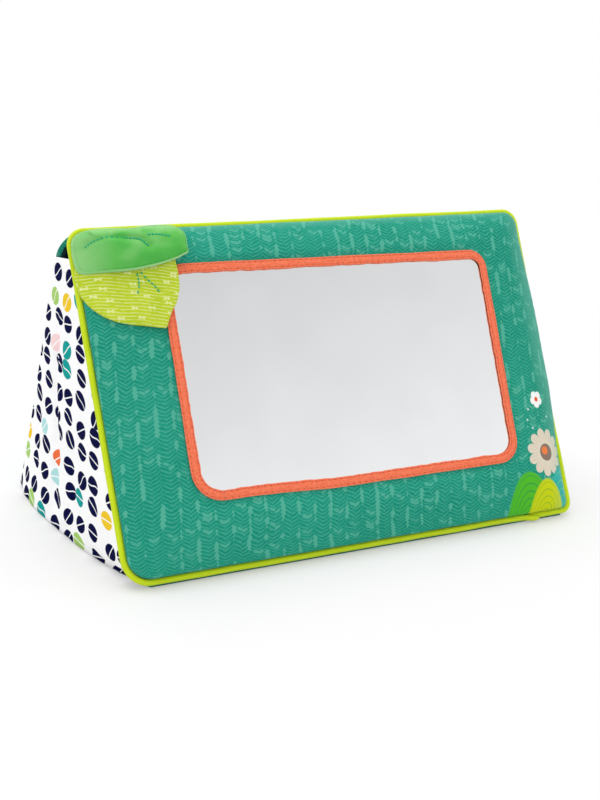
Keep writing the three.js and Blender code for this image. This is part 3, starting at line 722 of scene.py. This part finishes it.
def front_padding(u, v):
    seam, out, _ = around(COVER, u)
    seam, window = out_of_true(seam), window_place(around(WINDOW, u)[0])
    if v < FACE_END:
        share = (v / FACE_END) ** 1.8
        x, y = seam.lerp(window, share)
        height = swell(share, CROWN_HEIGHT) + SEAM_LIFT * (1 - share) ** 8
        height += puckers(seam, (seam - window).length * share)
        height += 0.75 * uneven(x, y, 41, 3.3) * smooth(share, 0.04, 0.3) * smooth(share, 0.95, 0.75)
        overhang = OVERHANG + 0.3 * uneven(*seam, 26, 9.2)
        overhang += max(out.x, 0) * (1.2 - 2.6 * smooth(seam.y, 150, 225) - 4.0 * smooth(seam.y, 105, 30))
        overhang -= 0.8 * max(out.y, 0)
        overhang *= share / OVERHANG_AT * math.exp(1 - share / OVERHANG_AT)
        x, y = x + out.x * overhang, y + out.y * overhang
        cloth = Vector((x, y)) + out * front_spare(share)
        return Vector((x, y, height)), cloth
    if v < RIM_END:
        return Vector((*window, mix(RIM_TOP, RIM_FOOT, (v - FACE_END) / (RIM_END - FACE_END)))), window
    share = (1 - v) / (1 - RIM_END)
    x, y = seam.lerp(window, share)
    return Vector((x, y, mix(SEAM_LIFT, -1, smooth(share, 0, 0.06)))), Vector((x, y))


front_cover = piece("front_padded_cover", sewn(ROUND_STEPS, 58, front_padding, FRONT),
                    FRONT_VELOUR, "front_panel")
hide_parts("front_cover", "front_foam_pad")


BACK_FACE_END = 0.66  # the share of the cover's rows on its face, and of those before the shoulder
SHOULDER_END = 0.55


def back_padding(u, v):
    edge, out, _ = around(BACK_COVER, u)
    shoulder = around(SHOULDER, u)[0]
    middle = Vector((0, LENGTH / 2))
    if v > BACK_FACE_END:
        share = (v - BACK_FACE_END) / (1 - BACK_FACE_END)
        x, y = edge.lerp(middle, share)
        return Vector((x, y, -smooth(share, 0, 0.04))), Vector((x, y))
    way = 1 - v / BACK_FACE_END
    share = min(way / SHOULDER_END, 1) ** 1.7
    x, y = edge.lerp(shoulder, share).lerp(middle, max(way - SHOULDER_END, 0) / (1 - SHOULDER_END))
    height = BACK_CROWN * crown(share) + 0.9 * smooth(way, 0.3, 1)
    height += puckers(edge, (edge - shoulder).length * share)
    height += (0.9 * uneven(x, y, 52, 5.5) + 0.35 * uneven(x, y, 19, 1.5)) * smooth(share, 0.02, 0.4)
    return Vector((x, y, height)), Vector((x, y)) + out * back_spare(share)


back_cover = piece("back_padded_cover", sewn(ROUND_STEPS, 60, back_padding, BACK),
                   BACK_VELOUR, "back_panel")
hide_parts("back_cover", "back_foam_pad")


# The piping round the front panel. Its ends cross on the bottom edge: the finish lies over and a
# little below the start.

PIPING_LINE = inset(PANEL, PIPING_RADIUS)
PIPING_JOINT = 312.0
PIPING_LENGTH = length_round(PIPING_LINE)
PIPING_OVER = 5.5  # how far each end goes past the joint
PIPING_SAG = 0.9
FINISH_OVER, START_UNDER = (2.2, 2.1), (1.1, 0.7)  # up and aside


def piping(u, v):
    travelled = mix(-PIPING_OVER, PIPING_LENGTH + PIPING_OVER, u)
    place, out = along(PIPING_LINE, PIPING_JOINT + travelled)
    place = out_of_true(place)
    left = PIPING_LENGTH + PIPING_OVER - travelled
    from_start = travelled + PIPING_OVER
    radius = PIPING_RADIUS * (1 + 0.025 * uneven(*place, 17, 4.4))
    radius *= min(1, (max(left, 0) / 7) ** 0.5) * min(1, (max(from_start, 0) / 5) ** 0.5)
    over = smooth(left, 16, 3)
    under = smooth(from_start, 14, 3)
    lift = FINISH_OVER[0] * over - START_UNDER[0] * under + 0.25 * uneven(*place, 40, 8.8)
    aside = FINISH_OVER[1] * over - START_UNDER[1] * under + 0.3 * uneven(*place, 31, 6.1)
    aside += PIPING_SAG * max(0, -out.y) ** 2 + 0.9 * max(0, out.x) * smooth(place.y, 75, 30)
    angle = 2 * math.pi * v
    spread = aside + radius * math.cos(angle)
    return (Vector((place.x + out.x * spread, place.y + out.y * spread, lift + radius * math.sin(angle))),
            (travelled, radius * angle))


piping_tube = piece("front_piping_welt", sewn(640, 20, piping, FRONT), PIPING_CLOTH, "front_panel")
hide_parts("front_piping", "front_piping_cord")


# The window's tape, with two rows of stitches.

def flattened(value, power):
    """A sine or cosine, flattened towards a square wave."""
    return math.copysign(abs(value) ** power, value)


STITCH_ROWS = (STITCH_INSET, TAPE_WIDTH - STITCH_INSET)


def tape_face(across, place):
    """The height of the tape's uneven face, drawn down along its stitches."""
    drawn = sum(math.exp(-((across - row) / 0.5) ** 2) for row in STITCH_ROWS)
    return TAPE_MIDDLE + TAPE_THICKNESS / 2 - 0.3 * drawn + 0.18 * uneven(*place, 7, 2.2)


def on_tape(outer, out, across):
    """A place on the panel at a distance in from the tape's wavy outer edge, with a ragged inner edge.
    The tape lies widest along the bottom."""
    width = 6.4 * out.x ** 2 + 7.0 * out.y ** 2 - 0.4 * out.x - 0.2 * out.y
    share = across / TAPE_WIDTH
    inner = outer - out * width
    ragged = 0.55 * uneven(*inner, 6, 5.2) + 0.5 * uneven(*inner, 17, 1.7)
    wave = 0.45 * uneven(*outer, 24, 3.1)
    return window_place(outer.lerp(inner, share) - out * (ragged * share ** 3 + wave * (1 - share) ** 3))


def tape(u, v):
    outer, out, distance = around(TAPE, u)
    angle = 2 * math.pi * v
    across = TAPE_WIDTH * (0.5 - 0.5 * flattened(math.cos(angle), 0.42))
    place = on_tape(outer, out, across)
    top = tape_face(across, place)
    height = mix(TAPE_MIDDLE - TAPE_THICKNESS / 2, top, 0.5 + 0.5 * flattened(math.sin(angle), 0.5))
    return Vector((place.x, place.y, height)), (distance, across)


tape_ring = piece("mirror_binding_tape", sewn(ROUND_STEPS, 36, tape, FRONT), TAPE_CLOTH, "front_panel")
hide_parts("mirror_binding")


STITCH_ENDS = (0.16, 0.84)  # where a stitch starts and ends on its pitch
OUTWARD = LEAN.to_3x3() @ Vector((0, 0, 1))


def tape_stitches(name, across, node):
    places = []
    for number in range(int(length_round(TAPE) / STITCH_PITCH)):
        ends = []
        for step in STITCH_ENDS:
            outer, out = along(TAPE, STITCH_PITCH * (number + step))
            place = on_tape(outer, out, across)
            ends.append(Vector((place.x, place.y, tape_face(across, place) + 0.02)))
        first, last = (1000 * (FRONT @ end) for end in ends)
        places.append(((first + last) / 2, last - first, OUTWARD))
    row = stitches(name, places, 3.4, 0.6, CORAL_THREAD, "front_panel")
    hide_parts(node)


tape_stitches("tape_outer_stitches", STITCH_ROWS[0], "binding_outer_stitch")
tape_stitches("tape_inner_stitches", STITCH_ROWS[1], "binding_inner_stitch")


# Linings: a plain cloth behind each board, brought forward round its edges to the seam and turned
# under at the foot, where the panel stands.

ROUND_EDGE, AT_SEAM = -2.8, -0.4  # the lining's heights where it comes forward
FOOT_HEIGHT = 0.55
BACK_END, ROUND_END = 0.5, 0.8  # shares of its rows: behind the board, round the board's edge, then in


def lining(panel, wall, seam, trued):
    """The places on a lining whose edge and seam lie that far in from the panel's outline."""
    def place(u, v):
        middle = Vector((0, LENGTH / 2))
        edge, out, _ = around(inset(panel, wall), u)
        edge = trued(edge)
        foot = max(0, -out.y) ** 24
        if v < BACK_END:
            share = v / BACK_END
            plan, height, foot = middle.lerp(edge, share), LINING_MIDDLE, foot * smooth(share, 0.9, 1)
            height -= 0.35 * uneven(*plan, 33, 6.6) * smooth(share, 1, 0.9) - 0.2
        elif v < ROUND_END:
            plan, height = edge, mix(LINING_MIDDLE, ROUND_EDGE, (v - BACK_END) / (ROUND_END - BACK_END))
        else:
            share = (v - ROUND_END) / (1 - ROUND_END)
            plan = edge.lerp(trued(around(inset(panel, seam), u)[0]), share)
            height = mix(ROUND_EDGE, AT_SEAM, share)
            foot *= 1 - share
        floor = (FOOT_HEIGHT - seam_rise - height * math.cos(SLANT)) / math.sin(SLANT)
        plan = Vector((plan.x, mix(plan.y, floor, foot)))
        return Vector((plan.x, plan.y, height)), (plan.x, plan.y - out.y * (height - LINING_MIDDLE))
    return place


# The back lining takes the darkened copy of the plain weave, as painted shade.
for name, place, to_room, body, node, board, finish in (
        ("front_lining_cloth", lining(PANEL, 3.9, 4.6, out_of_true), FRONT, "front_panel", "front_lining",
         "front_board", PLAIN_CLOTH),
        ("back_lining_cloth", lining(BACK_PANEL, 4.6, 5.1, Vector), BACK, "back_panel", "back_lining",
         "back_board", SHADED_BACK_LINING_CLOTH)):
    cloth = piece(name, sewn(ROUND_STEPS, 34, place, to_room), finish, body)
    wall = cloth.modifiers.new("cloth_wall", "SOLIDIFY")
    wall.thickness, wall.offset = CLOTH / 1000, 0
    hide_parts(node)


# The cloth between the panels, in the room's own millimetres.

def behind_front(depth, height):
    """Where a plane that deep behind the front panel's seam is at that height."""
    on_slope = (height - seam_rise + depth * math.cos(SLANT)) / math.tan(SLANT)
    return front_foot + on_slope + depth * math.sin(SLANT)


def before_back(depth, height):
    return front_foot + back_foot - behind_front(depth, height)


def give_wall(cloth):
    """The cloth's thickness, made part of its mesh."""
    work = bmesh.new()
    work.from_mesh(cloth.data)
    bmesh.ops.solidify(work, geom=work.faces, thickness=CLOTH / 1000)
    work.to_mesh(cloth.data)
    work.free()


# The side cloth's bulge, its flare and wrap at the back edge, how far its lower corners lift within
# their share of its depth, how its top rises to the front, and a further bulge at the foot.

GUSSET_COLUMNS, GUSSET_ROWS = 84, 64
GUSSET_BULGE, GUSSET_FLARE, GUSSET_WRAP = 3.6, 2.6, 2.0
GUSSET_FRONT_LIFT, GUSSET_BACK_LIFT, GUSSET_CORNER = 3.6, 1.2, 0.12
GUSSET_TOP_RISE, GUSSET_FOOT_BULGE = 4.4, 4.0
CREASES = (  # how far back, lean, width, depth and top of each
    (0.59, 0.12, 0.035, 2.4, 0.9), (0.36, -0.16, 0.05, 1.0, 0.5),
    (0.83, 0.22, 0.03, 1.6, 0.6), (0.17, 0.2, 0.03, 0.9, 0.5))


def drawn_in(radius, height):
    """How far in the piping's rounded lower corner takes the side cloth at a height."""
    line = radius - PIPING_RADIUS
    below = min(max(line + PIPING_RADIUS - (height - seam_rise) / math.sin(SLANT), 0), line)
    return line - math.sqrt(line * line - below * below)


def side_cloth(side):
    """Slack cloth from the front piping back and round the back panel's edge, creased here and there
    and bulging most low down."""
    radius = PANEL.radii[0 if side > 0 else 3]
    front_edge, back_edge = WIDTH / 2 - PIPING_RADIUS, WIDTH / 2 - 0.2

    def place(u, v):
        foot = GUSSET_FRONT_LIFT * max(1 - u / GUSSET_CORNER, 0) ** 2
        foot += GUSSET_BACK_LIFT * max(1 - (1 - u) / (0.5 * GUSSET_CORNER), 0) ** 2
        height = mix(0.8 + foot, GUSSET_TOP + GUSSET_TOP_RISE * (1 - u), v)
        depth = mix(behind_front(PIPING_RADIUS + 0.6, height), before_back(-GUSSET_WRAP, height), u)
        slack = math.sin(math.pi * u) ** 0.8 * (1 - 0.85 * smooth(v, 0.75, 1))
        front = side * out_of_true((side * front_edge, (height - seam_rise) / math.sin(SLANT)))[0]
        wide = mix(front, back_edge, u) - drawn_in(radius, height) * (1 - u) ** 5
        wide += GUSSET_BULGE * slack * (1 - v) ** 0.7 + GUSSET_FLARE * u * (1 - v) ** 3
        wide += GUSSET_FOOT_BULGE * math.exp(-((u - 0.8) / 0.3) ** 2) * (1 - v) ** 4 * smooth(u, 1, 0.85)
        waves = 1.5 * uneven(depth * 1.6, height * 0.7, 30, 3.7 + side) + 0.5 * uneven(depth, height, 11, 6.2)
        wide += slack * waves
        for at, lean, width, deep, top in CREASES:
            away = (u - at - lean * (v - 0.15) - 0.02 * uneven(height, side * 9, 12, 0.0)) / width
            wide -= deep * slack * math.exp(-away * away) * smooth(v, top, top - 0.3) * smooth(v, 0, 0.15)
        return Vector((side * wide, depth, height)), (depth + side * 37, height)
    return place


for name, side, node in (("left_side_cloth", -1, "left_gusset"), ("right_side_cloth", 1, "right_gusset")):
    gusset = piece(name, sewn(GUSSET_COLUMNS, GUSSET_ROWS, side_cloth(side), ROOM), SIDE_PRINT,
                   "front_panel")
    cut = sum(face.area for face in gusset.data.polygons)
    give_wall(gusset)
    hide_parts(node)
    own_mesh(gusset)


BASE_HALF, BASE_CUT, BASE_WAVE = 175, 24, 2.5


def base(u, v):
    """Cloth on the floor between the feet, narrower at its ends, in slack waves."""
    front = behind_front(-LINING_BACK, 1) + 1.2
    back = front_foot + back_foot - front
    end = BASE_CUT * smooth(abs(2 * u - 1), 0.82, 1)
    x, y = mix(-BASE_HALF, BASE_HALF, u), mix(front + end, back - end, v)
    wave = BASE_WAVE * math.sin(math.pi * v) * (1 + 0.4 * (math.cos(6 * math.pi * u) - 1))
    ripple = 0.5 * uneven(x, y, 26, 4.1) * math.sin(math.pi * v)
    return Vector((x, y, 1.3 + max(wave + ripple, 0))), (x, y)


base_cloth = piece("base_cloth", sewn(110, 60, base, ROOM), PLAIN_CLOTH, "front_panel")
give_wall(base_cloth)
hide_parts("base_panel")
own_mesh(base_cloth)


HINGE_GAP = 0.3  # to the piping
HINGE_HALVES = (168, 158)  # at the front and at the back panel


def hinge(u, v):
    """Slack cloth from panel to panel along the top."""
    foot = apex.z - PIPING_RADIUS * math.sin(SLANT) - (PIPING_RADIUS + HINGE_GAP) * math.cos(SLANT)
    front = behind_front(PIPING_RADIUS + HINGE_GAP, foot) + HINGE_GAP
    back = front_foot + back_foot - front + BACK_TOP_DROP * math.cos(SLANT)
    half = mix(*HINGE_HALVES, v)
    x, y = mix(-half, half, u), mix(front, back, v)
    pull = 0.3 * uneven(x, y, 9, 3.9) * math.sin(math.pi * v)
    fall = BACK_TOP_DROP * math.sin(SLANT) * v
    return Vector((x, y, foot - fall + 1.2 * math.sin(math.pi * v) + pull)), (x, y)


hinge_cloth = piece("top_hinge_cloth", sewn(150, 14, hinge, ROOM), PLAIN_CLOTH)
give_wall(hinge_cloth)
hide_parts("top_hinge_strip")
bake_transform(hinge_cloth)


# The two leaf flaps. Each outline is given from the panel's upper left corner, across and down.

LIME_OUTLINE = [
    (-1.6, 33.0), (-1.6, 39.6), (-0.8, 45.8), (1.5, 52.2), (4.8, 58.4), (9.4, 63.8), (14.2, 67.6),
    (20.6, 70.9), (28.3, 73.2), (37.9, 75.1), (48.0, 77.1), (50.9, 76.7), (53.1, 72.4), (56.7, 65.7),
    (60.4, 61.0), (62.8, 55.5), (64.6, 49.3), (64.9, 42.9), (64.8, 35.8), (63, 26), (55, 18.5),
    (40, 15), (25, 15), (10, 17), (1.5, 24)]
GREEN_OUTLINE = [
    (-2.0, 16.2), (-1.2, 11.6), (1.2, 8.2), (5.2, 6.2), (12.4, 5.5), (21.1, 5.8), (30.7, 6.3),
    (39.4, 6.4), (43.3, 5.6), (50.9, 4.4), (59.9, 4.4), (67.3, 5.4), (71.2, 8.8), (73.5, 12.5),
    (73.7, 17.4), (72.9, 21.9), (72.7, 27.1), (71.5, 28.5), (67.4, 30.1), (63.4, 31.7), (56.0, 33.9),
    (47.3, 35.7), (35.9, 37.4), (25.3, 37.9), (15.6, 37.2), (8.2, 36.2), (2.8, 35.2), (0.2, 33.2),
    (-1.2, 30.3), (-1.9, 26.1), (-2.2, 21.3)]
GREEN_MIDRIB = [
    (4.7, 18.4), (7.4, 16.5), (10.7, 15.2), (15.1, 14.3), (21.3, 14.3), (27.7, 15.4), (33.0, 16.2),
    (37.2, 16.6), (40.3, 17.9), (42.4, 20.3), (44.0, 22.2)]
GREEN_VEIN = [(44.9, 14.7), (50.3, 14.8), (55.1, 15.5), (59.8, 16.6)]
LIME_MIDRIB = [(37.9, 38.4), (41.6, 43.6), (45.7, 48.1), (48.8, 52.6)]
LIME_VEIN = [(35.1, 39.3), (35.4, 43.8), (35.1, 48.0), (33.3, 53.4)]
TAPE_TOP = 18.3
DRAPE_REACH = 4.0
THREAD_LIFT = 0.15  # of the stitches' middles off the leaf


def upon(x, y):
    """The height of what the leaves lie on: the crowned face, the tape and the piping."""
    shifted = out_of_true((x, y))
    from_side, from_top = 2 * x - shifted.x - COVER.left + 1.7, COVER.top - (2 * y - shifted.y) + 1.2
    radius = COVER.radii[2]
    corner_x, corner_y = max(radius - from_side, 0), max(radius - from_top, 0)
    reach = WINDOW.left - COVER.left
    shares = [from_side / reach, from_top / (COVER.top - WINDOW.top)]
    if corner_x * corner_y > 0:
        shares.append((radius - math.hypot(corner_x, corner_y)) / reach)
    share = min(max(min(shares), 0), 1)
    padded = CROWN_HEIGHT * crown(share) + (SEAM_LIFT if share > 0 else 0)
    return max(padded, TAPE_TOP * smooth(share, 0.72, 0.9), PIPING_RADIUS)


def draped(x, y):
    """The same height for a padded leaf, which bridges hollows and rounds what it covers."""
    spots = [(0, 0), (1, 0), (-1, 0), (0, 1), (0, -1)]
    heights = [upon(x + a * DRAPE_REACH, y + b * DRAPE_REACH) for a, b in spots]
    return max(sum(heights) / len(heights), upon(x, y) - 0.1)


def curved(points, share, closed=True):
    """A place at a share of a smooth line through points."""
    count = len(points) if closed else len(points) - 1
    step = share * count
    number = min(int(step), count - 1)
    at = step - number

    def near(i):
        return Vector(points[i % len(points)] if closed else points[min(max(i, 0), len(points) - 1)])
    a, b, c, d = (near(number + i) for i in (-1, 0, 1, 2))
    bent, twisted = 2 * a - 5 * b + 4 * c - d, 3 * b - a - 3 * c + d
    return 0.5 * (2 * b + (c - a) * at + bent * at ** 2 + twisted * at ** 3)


def finder(points):
    """Finds the nearest of some points in a plane."""
    tree = kdtree.KDTree(len(points))
    for number, point in enumerate(points):
        tree.insert((*point, 0), number)
    tree.balance()
    return lambda place: tree.find((*place, 0))[2]


class Leaf:
    """A leaf on the panel: the rim round its points, its middle, how far it lies off what is below it,
    half its rim's thickness, how plump it is and how far in from the rim, and its stitched valley."""

    def __init__(self, points, middle, floor, wall, puff, reach, valley):
        self.rim = [curved(points, i / 400) for i in range(400)]
        self.middle, self.floor, self.wall, self.puff, self.reach = Vector(middle), floor, wall, puff, reach
        self.inward = finder(self.rim)
        self.from_valley = finder([curved(valley, i / 40, False) for i in range(41)])

    def height(self, place, top=True):
        """Height over the panel's seam plane at a place across and down from its corner."""
        x, y = place.x - WIDTH / 2, LENGTH - place.y
        inward = self.inward(place)
        edge = min(inward / self.wall, 1)
        half = self.wall * math.sqrt(edge * (2 - edge))
        loose = mix(0.42, 1, smooth(place.x, 2, 24))
        under = draped(x, y) + self.floor * loose + self.wall
        if not top:
            return under - half
        full = min(inward / self.reach, 1)
        full = (full * (2 - full)) ** 0.75
        hollow = math.exp(-(self.from_valley(place) / 2.6) ** 2)
        lump = 1 + 0.12 * uneven(place.x, place.y, 11, self.puff)
        return under + half + self.puff * loose * full * (1 - 0.62 * hollow) * lump

    def shape(self, u, v):
        """A place on the leaf, from the middle of its face over the rim to the middle of its back."""
        step = u * len(self.rim)
        low = int(step) % len(self.rim)
        rim = self.rim[low].lerp(self.rim[(low + 1) % len(self.rim)], step - int(step))
        away = abs(1 - 2 * v)
        return self.middle.lerp(rim, 1 - away ** 1.5), v < 0.5


def leaf_place(leaf, crumple, seed):
    """The places on a leaf, its face crumpled."""
    def place(u, v):
        spot, top = leaf.shape(u, v)
        x, y = spot.x - WIDTH / 2, LENGTH - spot.y
        inward = leaf.inward(spot)
        loose = smooth(inward, 0, 4)
        crease = crumple * (uneven(x, y, 7, seed) + 0.6 * abs(uneven(x, y, 13, seed + 2))) * loose
        return Vector((x, y, leaf.height(spot, top) + (crease if top else 0))), (x, y)
    return place


lime_leaf = Leaf(LIME_OUTLINE, (34, 45), floor=0.9, wall=0.75, puff=1.7, reach=14, valley=LIME_MIDRIB)
green_leaf = Leaf(GREEN_OUTLINE, (38, 22), floor=5.8, wall=1.0, puff=4.6, reach=11, valley=GREEN_MIDRIB)


def measure_inward(made, leaf):
    """Gives each vertex its distance in from the leaf's rim, in millimetres, for the finish."""
    inward = made.data.attributes.new("inward", "FLOAT", "POINT")
    to_panel = FRONT.inverted()
    for vert, mark in zip(made.data.vertices, inward.data):
        x, y, _ = to_panel @ vert.co
        mark.value = leaf.inward(Vector((x + WIDTH / 2, LENGTH - y)))


def leaf_stitches(name, leaf, lines, node, body, pitch, width):
    places = []
    for line in lines:
        span = sum((Vector(a) - Vector(b)).length for a, b in zip(line, line[1:]))
        count = max(2, round(span / pitch))
        for number in range(count):
            share = (number + 0.5) / count
            here, beyond = curved(line, share, False), curved(line, min(share + 0.02, 1), False)
            ends = [Vector((spot.x - WIDTH / 2, LENGTH - spot.y, leaf.height(spot) + THREAD_LIFT))
                    for spot in (here, beyond)]
            at, then = (1000 * (FRONT @ end) for end in ends)
            places.append((at, then - at, OUTWARD))
    row = stitches(name, places, 0.86 * pitch, width, TEAL_THREAD, body)
    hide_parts(*node)


lime = piece("lime_leaf_flap", sewn(220, 40, leaf_place(lime_leaf, 0.45, 3.0), FRONT), LIME_PRINT)
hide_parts("lime_leaf_back", "lime_leaf_face", "lime_leaf_crinkle_film")
green = piece("green_leaf_flap", sewn(220, 48, leaf_place(green_leaf, 0.35, 8.0), FRONT), LEAF_VELOUR)
measure_inward(green, green_leaf)
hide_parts("green_leaf_back", "green_leaf_face", "green_leaf_batting")
leaf_stitches("lime_leaf_veins", lime_leaf, [LIME_MIDRIB, LIME_VEIN],
              ["lime_leaf_midrib_stitch", "lime_leaf_vein_stitch"], "lime_leaf", pitch=3.0, width=1.1)
leaf_stitches("green_leaf_veins", green_leaf, [GREEN_MIDRIB, GREEN_VEIN],
              ["green_leaf_midrib_stitch", "green_leaf_vein_stitch"], "green_leaf", pitch=2.3, width=1.4)

# Two places ten millimetres apart by the seam that holds the leaves' roots, and the leaves baked into the
# room.
root, free = FRONT @ Vector((-180, LENGTH - 25, 6)), FRONT @ Vector((-170, LENGTH - 25, 6))
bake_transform(lime)
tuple(root)
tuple(free)
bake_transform(green)
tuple(root)
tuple(free)


# The studio: a pale floor, a plain sky and one large soft lamp.

HAZE_HEIGHTS, HAZE_LEVELS = (0.36, 0.62), (0.97, 0.64)  # what the mirror shows, from low to high


def studio():
    world = bpy.data.worlds.new("plain_studio")
    bpy.context.scene.world = world
    world.use_nodes = True
    sky = Nodes(world.node_tree)
    sky.tree.nodes.clear()

    def light(strength):
        return sky.node("ShaderNodeBackground", {}, {"Color": (1, 1, 1, 1), "Strength": strength})

    ray = sky.node("ShaderNodeLightPath", output="Is Glossy Ray")
    height = sky.parts(sky.node("ShaderNodeTexCoord", output="Generated"))[2]
    shown = sky.over(ray, light(0.985), light(height.fade(*HAZE_HEIGHTS, *HAZE_LEVELS)))
    shown = sky.over(ray.beside("Is Camera Ray"), shown, light(1.0))
    sky.node("ShaderNodeOutputWorld", {}, {"Surface": shown}, output=None)


def lamp(name, place, aim, size, power):
    light = bpy.data.lights.new(name, "AREA")
    light.shape, light.size, light.size_y, light.energy = "RECTANGLE", size, size, power
    made = bpy.data.objects.new(name, light)
    bpy.context.scene.collection.objects.link(made)
    made.location = place
    made.rotation_euler = (Vector(aim) - Vector(place)).to_track_quat("-Z", "Y").to_euler()


FLOOR_HEIGHT, FLOOR_HALF = -0.0002, 6


def floor():
    """A pale floor, which keeps the shadow near the toy and turns white further out."""
    work = bmesh.new()
    bmesh.ops.create_grid(work, x_segments=8, y_segments=8, size=FLOOR_HALF,
                          matrix=Matrix.Translation((0, 0, FLOOR_HEIGHT)))
    made = Finish("pale_floor", Specular_IOR_Level=0.1)
    place = made.solid()
    grain = made.noise(place, 3.0, 3.0)
    made.paint(made.blend(grain, tint(232, 232, 232), tint(234, 234, 234)), 0.95, grain, 0.05, 0.1)
    x, y, _ = made.parts(place)
    seen = made.node("ShaderNodeLightPath", output="Is Camera Ray")
    seen = seen * (x * x + y * y).root().fade(260, 800, 0.34, 1.0)
    glow = made.node("ShaderNodeEmission", {}, {"Color": (1, 1, 1, 1), "Strength": 1.0})
    both = made.over(seen, Wire(made, made.shader.outputs[0]), glow)
    made.connect(made.tree.nodes["Material Output"].inputs["Surface"], both)
    piece("pale_floor", work, made.material)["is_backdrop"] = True


CAMERA_TURN = (28.28, 16.0, -1.96)  # its azimuth, pitch and roll in degrees
CAMERA_PLACE = (-0.4534, -0.8431, 0.3563)
LENS, SENSOR_WIDTH = 58.5, 36


def camera():
    """The photograph's place and angle."""
    azimuth, pitch, roll = (math.radians(angle) for angle in CAMERA_TURN)
    level = Vector((math.sin(azimuth), math.cos(azimuth), 0))
    ahead = level * math.cos(pitch) - Vector((0, 0, math.sin(pitch)))
    right = Vector((math.cos(azimuth), -math.sin(azimuth), 0))
    down = ahead.cross(right)
    rolled_right = math.cos(roll) * right + math.sin(roll) * down
    rolled_down = -math.sin(roll) * right + math.cos(roll) * down
    data = bpy.data.cameras.new("studio_camera")
    data.lens, data.sensor_width = LENS, SENSOR_WIDTH
    data.clip_start, data.clip_end = 0.05, 30
    made = bpy.data.objects.new("studio_camera", data)
    bpy.context.scene.collection.objects.link(made)
    turn = Matrix((rolled_right, -rolled_down, -ahead)).transposed().to_4x4()
    made.matrix_world = Matrix.Translation(CAMERA_PLACE) @ turn
    bpy.context.scene.camera = made


studio()
floor()
camera()
lamp("key_lamp", place=(-0.25, 0.4, 2.2), aim=(0, 0, 0.1), size=1.7, power=19)
bpy.context.scene.view_settings.view_transform = "Standard"

bpy.context.view_layer.update()
boxes = {"cad": cad_box, "visual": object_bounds()}
{key: [list(corner) for corner in box] for key, box in boxes.items()}
